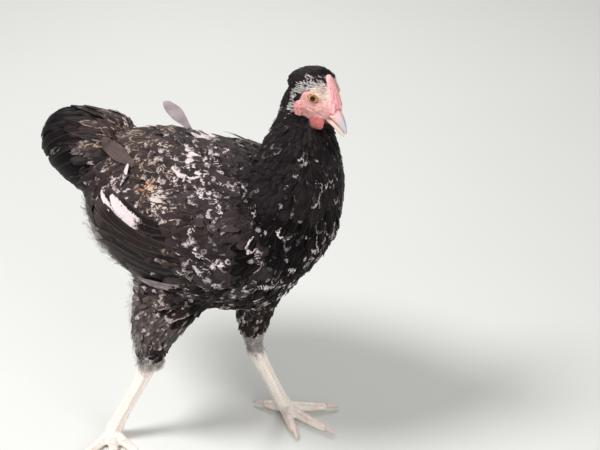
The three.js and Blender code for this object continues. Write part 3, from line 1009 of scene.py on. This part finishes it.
def wisp(barbs, rows, thick=0.07):
    """Barbs that fan out from one root."""
    strip = vane(1, rows)
    parts = []
    for k in range(barbs):
        lean = k / (barbs - 1) * 2 - 1
        reach = 1 - 0.3 * abs(lean) - 0.12 * (k % 2)
        fan = lean * (0.12 + 0.88 * strip.along)
        thin = strip.beside * thick * (1 - 0.75 * strip.along)
        parts.append((fan + thin, strip.along * reach, strip.faces + k * len(strip.along)))
    across, along, faces = (np.concatenate(p) for p in zip(*parts))
    return Pattern(across, along, np.tile(strip.along, barbs), faces, np.tile(strip.beside * 0.5, barbs))


def laid_out(roots, upright, cells):
    """Each root's own free cell on an unwrap of the skin round the body's length, or round its height."""
    arm = roots - roots.mean(0)
    if upright:
        turn, run = np.arctan2(arm[:, 1], arm[:, 0]), roots[:, 2]
    else:
        turn, run = np.arctan2(arm[:, 2], arm[:, 1]), roots[:, 0]
    spread = [(t - t.min()) / max(float(np.ptp(t)), 1e-9) for t in (turn, run)]
    wanted = (np.stack(spread, 1) * (cells - 1)).astype(int)
    taken, found = set(), np.empty((len(roots), 2))
    for i, (u, v) in enumerate(wanted):
        ring, free = 0, []
        while not free:
            ways = [
                (u + a, v + b)
                for a in range(-ring, ring + 1) for b in range(-ring, ring + 1)
                if max(abs(a), abs(b)) == ring
            ]
            free = [way for way in ways if way not in taken and 0 <= min(way) and max(way) < cells]
            ring += 1
        taken.add(free[0])
        found[i] = (free[0][0] + 0.5, free[0][1] + 0.5)
    return found / cells


def quads(name, places, faces):
    """A mesh of four-sided faces."""
    mesh = bpy.data.meshes.new(name)
    mesh.vertices.add(len(places))
    mesh.vertices.foreach_set("co", places.astype(np.float32).ravel())
    mesh.loops.add(faces.size)
    mesh.loops.foreach_set("vertex_index", faces.astype(np.int32).ravel())
    mesh.polygons.add(len(faces))
    mesh.polygons.foreach_set("loop_start", np.arange(0, faces.size, 4, dtype=np.int32))
    mesh.update(calc_edges=True)
    return mesh


def coat(name, pattern, paths, lengths, widths, lifts, rng, marks, finish, upright=False, camber=0.1,
         sweep=0.3, fray=0.07, bury=0.5, rolled=0.12, slot="plumage"):
    """One joined mesh with a feather on every path, as wide and as high above the skin as told."""
    count, steps = len(paths), paths.shape[1] - 1
    lengths, widths, lifts = (np.broadcast_to(value, count)[:, None] for value in (lengths, widths, lifts))
    marks = np.broadcast_to(marks, (count, 3))
    step = np.clip(pattern.along * steps, 0, steps - 1e-6)
    before = step.astype(int)
    share = (step - before)[:, None, None]
    frame_at = paths[:, before] * (1 - share) + paths[:, before + 1] * share
    place, normal, heading = frame_at[:, :, 0], unit(frame_at[:, :, 1]), unit(frame_at[:, :, 2])
    side = np.cross(heading, normal)
    edge = (pattern.rim > 0.9) * fray
    total = len(pattern.along)
    across = pattern.across * (1 + edge * rng.normal(size=(count, total))) * (widths / 2)
    ahead = sweep * np.abs(across) + edge * rng.normal(size=across.shape) * widths
    height = lifts * pattern.along**0.75 - bury - camber * pattern.across**2 * widths / 2
    height = height + rng.normal(0, rolled, count)[:, None] * across
    across_it, ahead_it, over_it = (part[..., None] for part in (across, ahead, height))
    vertices = place + (side * across_it + heading * ahead_it + normal * over_it) * MM
    faces = (pattern.faces[None] + (np.arange(count) * total)[:, None, None]).reshape(-1, 4)
    mesh = quads(name, vertices.reshape(-1, 3), faces)
    seeds = rng.random((count, 3))
    spot = [across, (pattern.along - 1) * lengths, np.repeat(seeds[:, :1] * 500, total, 1)]
    give(mesh, "marks", np.repeat(marks, total, 0))
    give(mesh, "fate", np.repeat(seeds, total, 0))
    give(mesh, "spot", np.stack(spot, 2).reshape(-1, 3))
    give(mesh, "rim", np.tile(pattern.rim, count))
    flat = np.stack([pattern.beside / 2 + 0.5, pattern.along], 1)
    cells = CELLS if count > MANY else FEW_CELLS
    homes = laid_out(paths[:, 0, 0], upright, cells)[:, None]
    maps = {"OFBake": homes + (flat - 0.5) * PATCH / cells, "vane": np.tile(flat, (count, 1, 1))}
    for layer, uv in maps.items():
        uv = uv.reshape(-1, 2)[faces.ravel()]
        mesh.uv_layers.new(name=layer).uv.foreach_set("vector", uv.astype(np.float32).ravel())
    mesh.materials.append(finish)
    finished(in_scene(name, mesh), slot)


# ---------------------------------------------------------------- the coat's colours
# Black with a violet-brown cast and a soft gloss. Some feathers carry short white crescents and squiggles,
# brown ones fine tan lines, and rust shows in small flecks. Shafts are a little paler.
WHITISH, DULL_WHITE, BROWNED_WHITE = (0.76, 0.67, 0.68), (0.20, 0.17, 0.175), (0.46, 0.35, 0.28)
TAN, RUST, PALE_SHAFT = (0.40, 0.28, 0.21), (0.46, 0.22, 0.10), (0.17, 0.13, 0.115)
STREAKS_FROM, BARS_FROM = 0.66, 0.86  # of the feathers' second number of fate


def plumage_of(name, black, gloss, pale_rim=0.0, browning=(0.036, 0.023, 0.019), smears=0.37,
               rim_colour=(0.10, 0.08, 0.08), **shader_numbers):
    """Feathers of one finish. A white mark of 0 to 1 is the share of feathers that carry a fleck, about
    1.5 makes half the vane white towards its tip, and 2.5 or more the whole feather. Smears is the share
    of the flecks that are smears. The others are crescents, streaks and bars."""
    numbers = {"Roughness": gloss, "Specular_IOR_Level": 0.24, "Specular_Tint": (1, 0.86, 0.88, 1)}
    vaned, tree, shader = material_of(name, **numbers | shader_numbers)
    u, v, _ = split(Value(put(tree, "UVMap", uv_map="vane").outputs[0]))
    white, brown, rust = split(attribute(tree, "marks", "Vector"))
    first, second, third = split(attribute(tree, "fate", "Vector"))
    spot, rim = attribute(tree, "spot", "Vector"), attribute(tree, "rim")
    across, from_tip, _ = split(spot)
    swept = from_tip - abs(across) * 0.7
    coarse, fine, ragged = noise_at(spot, 0.13, 2), noise_at(spot, 0.35, 2, 0.6), noise_at(spot, 0.75, 2, 0.6)

    # the ground colour, a browner feather's tan edge and inner line, rust, and the rim
    tone = (first * 0.9).swayed(coarse, 1.2)
    colour = blended(tone, tuple(0.5 * c for c in black), tuple(2.2 * c for c in black))
    browned = brown.swayed(second, 0.7).eased(0.25, 0.95)
    colour = blended(browned, colour, browning)
    edge = rim.eased(0.8, 0.88) * u.swayed(first, 1.4).eased(0.45, 0.6) * fine.eased(0.40, 0.55)
    inner = abs(rim - 0.55).eased(0.07, 0.03) * fine.eased(0.5, 0.58)
    lined = edge.or_more(inner) * browned.swayed(coarse, 1.6).eased(0.62, 0.9)
    colour = blended(lined * 0.8, colour, TAN)
    rusty = rust.swayed(fine, 2.4).eased(0.7, 0.95) * rust.eased(0.1, 0.45)
    colour = blended(rusty, colour, RUST)
    colour = blended(rim.swayed(coarse, 0.5).eased(0.6, 1.05) * pale_rim, colour, rim_colour)

    # the white marks, and the shaft over them
    aside = (across - (second - 0.5) * 7.0) * (first * 0.8 + 0.45)
    behind = from_tip + (first * 3.5 + 1.0)
    away = (aside * aside + behind * behind).sum("SQRT").swayed(fine, 9.0).swayed(ragged, 6.0)
    smear = away.eased(3.3, 1.0)
    crescent = (rim + first * 0.16).swayed(coarse, 0.7).eased(0.70, 0.90) * fine.eased(0.42, 0.56)
    streak = abs(u.swayed(fine, 1.2) - first).eased(0.13, 0.04) * coarse.eased(0.42, 0.52)
    bars = (swept * 2.0 + fine * 6.0).sum("SINE").eased(0.3, 0.9) * coarse.eased(0.5, 0.58)
    mark = smear
    for start, shape in ((smears, crescent), (STREAKS_FROM, streak), (BARS_FROM, bars)):
        mark = blended(second.eased(start, start + 0.01), mark, shape)
    fleck = mark * (white - third).eased(0.0, 0.3) * ragged.eased(0.2, 0.55)
    limit = u.swayed(fine, 0.3) - white * 1.2
    half = v.swayed(fine, 0.3).eased(0.5, 0.6) * limit.eased(-1.35, -1.45) * white.eased(1.2, 1.35)
    half = half * fine.swayed(ragged, 0.3).eased(0.26, 0.38)
    whole = white.swayed(ragged, 1.6).swayed(fine, 1.6).eased(2.2, 2.9)
    pale = blended(white.swayed(first, 0.9).eased(0.1, 1.0), DULL_WHITE, WHITISH)
    pale = blended(brown * 0.75, pale, BROWNED_WHITE)
    colour = blended(fleck.or_more(half).or_more(whole), colour, pale)
    shaft = abs(u - 0.5).eased(0.035, 0.0)
    painted(shader, blended(shaft * 0.25, colour, PALE_SHAFT))
    roughened(shader, (swept * 11.0).sum("SINE") + shaft * 3.0, 0.00015, 0.4)
    return vaned


plumage = plumage_of("plumage", (0.0150, 0.0098, 0.0112), 0.48, pale_rim=0.06)
velvet_plumage = plumage_of(
    "velvet_plumage", (0.0022, 0.0016, 0.0018), 0.55, smears=0.14, Specular_IOR_Level=0.08
)
# its black is lighter than the velvet's: painted sheen on the crown and the neck, beside the soft gloss of
# the shader
painted_sheen_plumage = plumage_of(
    "painted_sheen_plumage", (0.0060, 0.0043, 0.0048), 0.5, smears=0.14, Specular_IOR_Level=0.14
)
glossy_plumage = plumage_of(
    "glossy_plumage", (0.0024, 0.0019, 0.0022), 0.42, browning=(0.018, 0.012, 0.010), Specular_IOR_Level=0.10
)
loose_plumage = plumage_of(
    "loose_plumage", (0.0029, 0.0020, 0.0019), 0.7, pale_rim=0.25, Specular_IOR_Level=0.09
)
flight_plumage = plumage_of(
    "flight_plumage", (0.0062, 0.0040, 0.0038), 0.42, pale_rim=0.4, Specular_IOR_Level=0.14
)
tan_edged_plumage = plumage_of(
    "tan_edged_plumage", (0.0085, 0.0055, 0.0053), 0.5, pale_rim=1.6, rim_colour=(0.36, 0.27, 0.19)
)
drab_plumage = plumage_of("drab_plumage", (0.044, 0.031, 0.029), 0.5, pale_rim=0.3)
mauve_plumage = plumage_of("mauve_plumage", (0.165, 0.135, 0.142), 0.6, browning=(0.165, 0.135, 0.142))
silver_plumage = plumage_of("silver_plumage", (0.066, 0.055, 0.052), 0.6, browning=(0.055, 0.042, 0.037))
pale_down = plumage_of("pale_down", (0.36, 0.335, 0.32), 0.8, browning=(0.36, 0.30, 0.25))
brow_plumage = plumage_of("brow_plumage", (0.54, 0.44, 0.385), 0.75, browning=(0.54, 0.44, 0.38))

# ---------------------------------------------------------------- small feathers all over
# The coat is set feather by feather, each rooted in the skin and lying over the roots of those behind it:
# smallest round the face, longest on the saddle, belly and tail. The bounds of each district are in
# millimetres, from the floor under the trunk or in the head's frame.
SKULL_TOP = 362  # the neck's skin above this height belongs to the skull
MINGLING = 7  # feathers of the breast and the belly mingle with their neighbours over this width
BLACK_STARTS = 1.22  # past this, black crown feathers show between the pale speckles
SHOWING = 4  # the step of a feather's path that shows, whose markings the whole feather takes

patch_parts = part_at(patch_middles)
skin_bareness = relaxed(bareness(skin_places, part_at(skin_places)), edges_of(form), 0.5, 1)
patch_bare = skin_bareness[skin_corners].mean(1)
px, _, pz = from_trunk(patch_middles).T
hx, hy, hz = on_head(patch_middles).T
neck, wing, thigh, tail = (patch_parts == name for name in ("neck", "wing", "thigh", "tail"))
on_skull = np.isin(patch_parts, ("head", "eye")) | (neck & (pz > SKULL_TOP))
past_face = beyond_face(hx, hz)
straying = np.random.default_rng(8).normal(0, MINGLING, len(px))
behind_ear = on_skull & (hx < -6.5) & (hx > -12.5) & (np.abs(hy) > 7) & (hz < -3) & (hz > -26)
body = np.isin(patch_parts, ("trunk", "neck", "tail", "wing"))
DISTRICTS = {
    "lores": (patch_parts == "head") & (hx > 10) & (hx < 18) & (hz > -3) & (hz < 8) & (np.abs(hy) > 3.5),
    "bare": patch_bare > 0.5,
    "ear_tufts": behind_ear,
    "brow": on_skull & (past_face < np.where(hx > 3, 1.55, 1.3)) & (hx > -1) & (hz > 0),
    "speckles": on_skull & (past_face < 1.8) & (hz > -16),
    "crown": on_skull,
    "hackle": neck,
    "tail_coverts": tail & ((px < -92) | (pz < 285)),
    "saddle": body & (px < -42) & (pz > 284) & ~wing,
    "vent": body & (px < -58) & (pz < 238),
    "under_flights": wing & (px < -24) & (pz < 264),
    "wing_coverts": wing & (px < 18),
    "shoulder": wing,
    "breast": body & (px + straying > 82) & (pz < 300),
    "belly": body & (pz + straying < 216),
    "back": body & (pz > 270),
    "flank": body,
    "pale_thighs": thigh & (px < 6) & (pz > 150),
    "hocks": thigh & (pz < 112),
    "thighs": thigh,
}
names = list(DISTRICTS)
district = np.select(list(DISTRICTS.values()), range(len(names)), -1)

# the pale strands thin out in patches away from the face
patchy = np.sin(hx / 1.9 + 1.5 * np.sin(hz / 2.3)) * np.sin(hz / 1.7 + 1.2 * np.sin(hx / 2.9))
frosted = (0.8 - 0.8 * within(past_face, 1.05, 1.75)) * (1 + 0.8 * patchy) * within(hx, -17, -8)
frosted = (np.random.default_rng(7).random(len(hx)) < frosted) | (past_face < 1.16)


def by_height(low, high, at_low, at_high):
    """A size that changes with height above the floor, from low to high."""
    return lambda places: at_low + (at_high - at_low) * within(from_trunk(places)[:, 2], low, high)


SMALL_VANE, MIDDLE_VANE, LONG_VANE = vane(2, 4), vane(4, 8), vane(4, 10, blunt=0.35, tip=0.08)
DOWN, STRAND = wisp(7, 4), vane(2, 4, blunt=0.3, base=0.5, tip=0.1)
COATS = {  # pattern, spacing, length, width, lift, material, how white or None, upright unwrap
    "ear_tufts": (STRAND, 0.72, 6.6, 0.85, 2.6, pale_down, 0.0, False),
    "lores": (STRAND, 1.0, 2.6, 0.36, 0.9, brow_plumage, 0.0, False),
    "brow": (STRAND, 0.55, 3.4, 0.55, 1.2, brow_plumage, 0.0, False),
    "speckles": (STRAND, 0.6, 4.4, 0.8, 2.4, pale_down, 0.0, False),
    "crown": (SMALL_VANE, 1.25, 6.5, 2.3, 2.2, painted_sheen_plumage, None, False),
    "hackle": (MIDDLE_VANE, by_height(300, 380, 3.3, 1.7), by_height(300, 385, 26, 9),
               by_height(300, 385, 8.5, 3.2), 3.6, painted_sheen_plumage, None, True),
    "saddle": (LONG_VANE, 3.8, 34, 10, 4.6, plumage, None, False),
    "tail_coverts": (LONG_VANE, 4.2, 46, 11, 5.4, glossy_plumage, None, False),
    "vent": (DOWN, 3.4, 28, 14, 7.0, silver_plumage, 0.2, False),
    "under_flights": (MIDDLE_VANE, 8, 22, 14, 1.2, flight_plumage, 0.2, False),
    "wing_coverts": (MIDDLE_VANE, 4.8, 27, 15, 4.2, plumage, None, False),
    "shoulder": (MIDDLE_VANE, 4.0, 20, 12, 4.0, plumage, None, False),
    "breast": (MIDDLE_VANE, 3.7, 22, 11, 6.2, velvet_plumage, None, False),
    "belly": (MIDDLE_VANE, 4.3, 30, 11, 5.0, loose_plumage, None, False),
    "back": (MIDDLE_VANE, 3.9, 23, 12, 4.4, plumage, None, False),
    "flank": (MIDDLE_VANE, 4.2, 27, 13, 4.6, plumage, None, False),
    "pale_thighs": (LONG_VANE, 2.8, 28, 5.5, 4.8, silver_plumage, 0.5, True),
    "hocks": (DOWN, 2.0, 12, 6, 2.8, pale_down, 0.0, True),
    "thighs": (MIDDLE_VANE, 3.4, by_height(100, 140, 8, 18), by_height(100, 140, 5.5, 8.5), 3.8,
               loose_plumage, None, True),
}
for seed, (name, settings) in enumerate(COATS.items()):
    pattern, spacing, length, width, lift, finish, white, upright = settings
    rng = np.random.default_rng(seed)
    where = district == names.index(name)
    if name == "speckles":
        where &= frosted
    if name == "crown":  # black feathers show between the pale strands of the ear tufts and the speckles
        where |= behind_ear | ((district == names.index("speckles")) & (past_face > BLACK_STARTS))
    roots = scattered(where, spacing, rng)
    lengths = sized(length, roots) * rng.normal(1, 0.12, len(roots)).clip(0.7, 1.3)
    widths = sized(width, roots) * rng.normal(1, 0.1, len(roots)).clip(0.75, 1.3)
    lifts = lift * rng.normal(1, 0.15, len(roots)).clip(0.6, 1.35)
    paths = paths_from(roots, lengths * MM, rng.normal(0, 0.2, len(roots)))
    seen = paths[:, SHOWING, 0]
    marks = markings(seen, part_at(seen))
    if white is not None:
        marks[:, 0] = white
    coat(f"{name}_feathers", pattern, paths, lengths, widths, lifts, rng, marks, finish, upright)

# ---------------------------------------------------------------- flights of the folded wing
# The large quills of each wing lie over one another like a closed fan, brown-black and bowed upwards at
# their tips. One vane of the uppermost ones is white towards the end.
FLIGHTS = (  # root and tip, alike on both sides; then how far the middle hangs and the tip's height
    ((6, 74, 204), (-54, 69, 211), 5, 4.2),
    ((8, 75, 208), (-60, 70, 218), 6, 4.6),
    ((10, 77, 214), (-66, 72, 228), 7, 5.0),
    ((12, 78, 222), (-70, 72, 238), 8, 5.4),
    ((14, 79, 230), (-74, 70, 248), 9, 5.8),
    ((14, 80, 240), (-78, 67, 258), 9, 6.2),
    ((14, 80, 250), (-79, 60, 267), 9, 6.6),
    ((10, 78, 262), (-80, 54, 277), 10, 7.0),
    ((6, 77, 268), (-65, 61, 276), 8, 8.0),
)
FLIGHT_VANE = vane(4, 12, blunt=0.7, base=0.55, tip=0.3)
FLIGHT_WIDTH, FLIGHT_ROOT = 16.5, 2.0
PLAIN, THIN_WHITE, WIDE_WHITE = (0.1, 0.3, 0.0), (1.42, 0.2, 0.0), (1.72, 0.2, 0.0)
QUILL = {"camber": 0.06, "fray": 0.02, "bury": 0.0, "rolled": 0.0}


def bowed(root, tip, sag, hand):
    """A root, a middle that hangs below the straight line by the sag, and a tip, on one side."""
    middle = [(a + b) / 2 for a, b in zip(root, tip)]
    middle[2] -= sag
    return [(x, hand * y, z) for x, y, z in (root, middle, tip)]


def length_of(paths):
    return np.linalg.norm(np.diff(paths[:, :, 0], axis=1), axis=2).sum(1) / MM


rng = np.random.default_rng(40)
tip_heights = np.array([flight[3] for _ in HANDS for flight in FLIGHTS])
paths = strung([bowed(*flight[:3], hand) for hand in HANDS for flight in FLIGHTS], (FLIGHT_ROOT, tip_heights))
marks = np.array(([PLAIN] * 7 + [THIN_WHITE, WIDE_WHITE]) * 2)
coat("flight_feathers", FLIGHT_VANE, paths, length_of(paths), FLIGHT_WIDTH, 1.0, rng, marks, flight_plumage,
     **QUILL)

# ---------------------------------------------------------------- loose wing feathers
# A plain drab covert lies over the right of the rump and a tan-edged one over the left of the back. On
# each side a thin white-edged one shows, and a few long silvery plumes of the flank under the flights. One
# mauve-grey feather of the left wing stands up behind the back, its flat side to the front.
UNMARKED = (0.0, 0.0, 0.0)
COVERT_VANE = vane(6, 12, blunt=0.5, base=0.4, tip=0.1)
COVERT, TAN_EDGED = ((-58, -38, 300), (-95, -26, 312), 2), ((48, 27, 309), (-2, 29, 312), 0)
WHITE_EDGED = ((-64, 50, 280), (-62, 38, 299), 0)
PLUMES = [((3 - 3 * k, 75 - k, 211 - 5 * k), (-42 + k, 70 - k, 205 - 5 * k), 2) for k in range(3)]
STANDING = ((-30, 22, 311), (-46, 25, 324), (-62, 30, 330))
for name, curves, hands, heights, wide, finish, mark in (
    ("drab_coverts", [COVERT], (1,), (4.0, 8.5), 14, drab_plumage, UNMARKED),
    ("tan_edged_coverts", [TAN_EDGED], (1,), (5.0, 8.0), 8, tan_edged_plumage, UNMARKED),
    ("white_edges", [WHITE_EDGED], HANDS, (5.0, 7.0), 4.5, flight_plumage, (2.5, 0.2, 0.0)),
    ("flank_plumes", PLUMES, HANDS, (4.2, 6.4), 6.0, mauve_plumage, (0.9, 0.0, 0.0)),
):
    paths = strung([bowed(*curve, hand) for hand in hands for curve in curves], heights)
    coat(name, COVERT_VANE, paths, length_of(paths), wide, 1.0, rng, mark, finish, **QUILL)
paths = strung([STANDING])
paths[:, :, 1] = towards_camera
coat("standing_feather", LONG_VANE, paths, length_of(paths), 13, 0.0, rng, UNMARKED, mauve_plumage, **QUILL)

# ---------------------------------------------------------------- tail quills and loose strands
# Broad glossy quills arch over the tail and hang down behind it. Loose pale strands of down stand out from
# the back of the thighs and below the vent.
QUILL_WIDTH, QUILL_LIFT = 13, 6.5
fan = [(hand, k) for hand in HANDS for k in range(6)]
roots = np.array([(-88, hand * (5 + 8.5 * k), 324 - 5.5 * k) for hand, k in fan], float)
roots, _ = on_skin(roots * MM + np.array(under_trunk))
lengths = np.array([84 - 5 * k for _, k in fan], float)
paths = paths_from(roots, lengths * MM, rng.normal(0, 0.06, len(roots)), steps=10)
coat("tail_quills", FLIGHT_VANE, paths, lengths, QUILL_WIDTH, QUILL_LIFT, rng, (0.05, 0.1, 0.0),
     glossy_plumage, **QUILL)

for name, where, spacing, size in (  # size is length, width and lift
    ("thigh_strands", thigh & (px < -36) & (pz > 104), 5.5, (24, 9, 6.0)),
    ("vent_fluff", body & (px < -62) & (pz > 190) & (pz < 240), 6.5, (24, 13, 9.0)),
):
    roots = scattered(where, spacing, rng)
    twist = rng.normal(0, 0.3, len(roots))
    paths = paths_from(roots, np.full(len(roots), size[0] * MM), twist, free=0.3, droop=0.1)
    coat(name, DOWN, paths, *size, rng, (0.3, 0.3, 0.0), pale_down, upright=True)

# ---------------------------------------------------------------- scutes and bristles
# Each shank carries two rows of shield-shaped plates down its front and small ones round the back, and
# each toe one row of cross plates. Fine pale bristles are scattered over the bare face.
SHIELD, CROSS_PLATE = vane(4, 4, blunt=0.6, base=0.9, tip=0.6), vane(4, 3, blunt=0.7, base=0.95, tip=0.8)
BRISTLE = vane(1, 3, blunt=0.2, tip=0.1)
SCUTE_STEP, TOE_STEP = 4.4, 3.0
OUTSIDE_SHANK, ABOVE_TOES, CLAW, FIRST_PLATE, BARE_OF_PLATES = 12, 30, 7, 8, 6  # millimetres
FIRST_ROW, TOE_TAPER = 0.6, 0.3
ROUND_THE_SHANK = ((24, 1.0), (68, 0.7), (110, 0.6), (152, 0.6))  # degrees from the front, and size
SHIELD_LENGTH, SHIELD_WIDTH, PLATE_LENGTH, PLATE_WIDTH = 6.4, 5.0, 4.2, 7.0
BRISTLE_LENGTH, BRISTLE_WIDTH, BRISTLE_STEP, CLEAR_OF_EYE = 2.6, 0.32, 2.4, 8
PLATE = {"sweep": 0.0, "fray": 0.0, "bury": 0.25, "rolled": 0.0, "slot": "scale"}
PALE_SCUTE, PALER_SCUTE = (0.93, 0.85, 0.77), (0.96, 0.92, 0.86)
ROSY_SCUTE, SCUTE_EDGE = (0.90, 0.70, 0.64), (0.84, 0.66, 0.58)

plated, tree, shader = material_of("scutes", Roughness=0.42, Subsurface_Weight=0.05, Subsurface_Scale=0.001)
first, second, _ = split(attribute(tree, "fate", "Vector"))
rosy, _, _ = split(attribute(tree, "marks", "Vector"))
grain = noise_at(attribute(tree, "spot", "Vector"), 0.5, 3)
colour = blended(first.swayed(grain, 0.8), PALE_SCUTE, PALER_SCUTE)
colour = blended(rosy * second.eased(0.1, 0.9), colour, ROSY_SCUTE)
colour = blended(attribute(tree, "rim").swayed(grain, 0.2).eased(0.7, 1.0), colour, SCUTE_EDGE)
painted(shader, colour)
roughened(shader, grain, 0.0002, 0.5)

shields, shield_sizes, plates, plate_sizes = [], [], [], []
for side in SIDES:
    corners = np.array(corners_of(f"shank_{side}"))
    top, bottom = corners[:, 2].max(), corners[:, 2].min()
    head_end = corners[corners[:, 2] > top - ANKLE].mean(0)
    foot_end = corners[corners[:, 2] < bottom + ANKLE].mean(0)
    ahead = unit((np.array(box_middle(f"claw_middle_{side}")) - foot_end) * (1, 1, 0))
    across = np.cross(unit(foot_end - head_end), ahead)
    span = np.linalg.norm(foot_end - head_end) / MM
    for row in range(int(span / SCUTE_STEP)):
        middle = head_end + (foot_end - head_end) * ((row + FIRST_ROW) * SCUTE_STEP / span)
        for degrees, size in ROUND_THE_SHANK:
            for turn in (np.radians(degrees), np.radians(-degrees)):
                out = ahead * np.cos(turn) + across * np.sin(turn)
                shields.append(middle + out * OUTSIDE_SHANK * MM)
                shield_sizes.append(size)
    for toe in TOES:
        run = (np.array(box_middle(f"claw_{toe}_{side}")) - foot_end) * (1, 1, 0)
        reach = np.linalg.norm(run) / MM - CLAW
        for row in range(int((reach - BARE_OF_PLATES) / TOE_STEP)):
            place = foot_end + unit(run) * (FIRST_PLATE + row * TOE_STEP) * MM
            above = Vector((place[0], place[1], ABOVE_TOES * MM))
            hit, _, _, _ = skin_tree.ray_cast(above, Vector((0, 0, -1)))
            if hit and hit.z < TOE_TOPS:
                plates.append(np.array(hit))
                plate_sizes.append(1 - TOE_TAPER * row * TOE_STEP / reach)
roots, _ = on_skin(np.array(shields))
sizes = np.array(shield_sizes)
kept = bareness(roots, part_at(roots)) > 0.5
roots, sizes = roots[kept], sizes[kept]
paths = paths_from(roots, SHIELD_LENGTH * sizes * MM, np.zeros(len(roots)))
coat("shank_scutes", SHIELD, paths, SHIELD_LENGTH * sizes, SHIELD_WIDTH * sizes, 0.75, rng, UNMARKED, plated,
     camber=0.2, upright=True, **PLATE)
roots, sizes = np.array(plates), np.array(plate_sizes)
paths = paths_from(roots, np.full(len(roots), PLATE_LENGTH * MM), np.zeros(len(roots)), steps=3)
coat("toe_scutes", CROSS_PLATE, paths, PLATE_LENGTH, PLATE_WIDTH * sizes, 0.7, rng, (0.8, 0, 0), plated,
     camber=0.34, **PLATE)

on_face = (patch_bare > 0.6) & np.isin(patch_parts, ("head", "neck"))
on_face &= np.linalg.norm((hx, hz), axis=0) > CLEAR_OF_EYE
roots = scattered(on_face, BRISTLE_STEP, rng)
paths = paths_from(roots, np.full(len(roots), BRISTLE_LENGTH * MM), rng.normal(0, 0.5, len(roots)))
coat("face_bristles", BRISTLE, paths, BRISTLE_LENGTH, BRISTLE_WIDTH, 0.8, rng, UNMARKED, brow_plumage,
     bury=0.1)
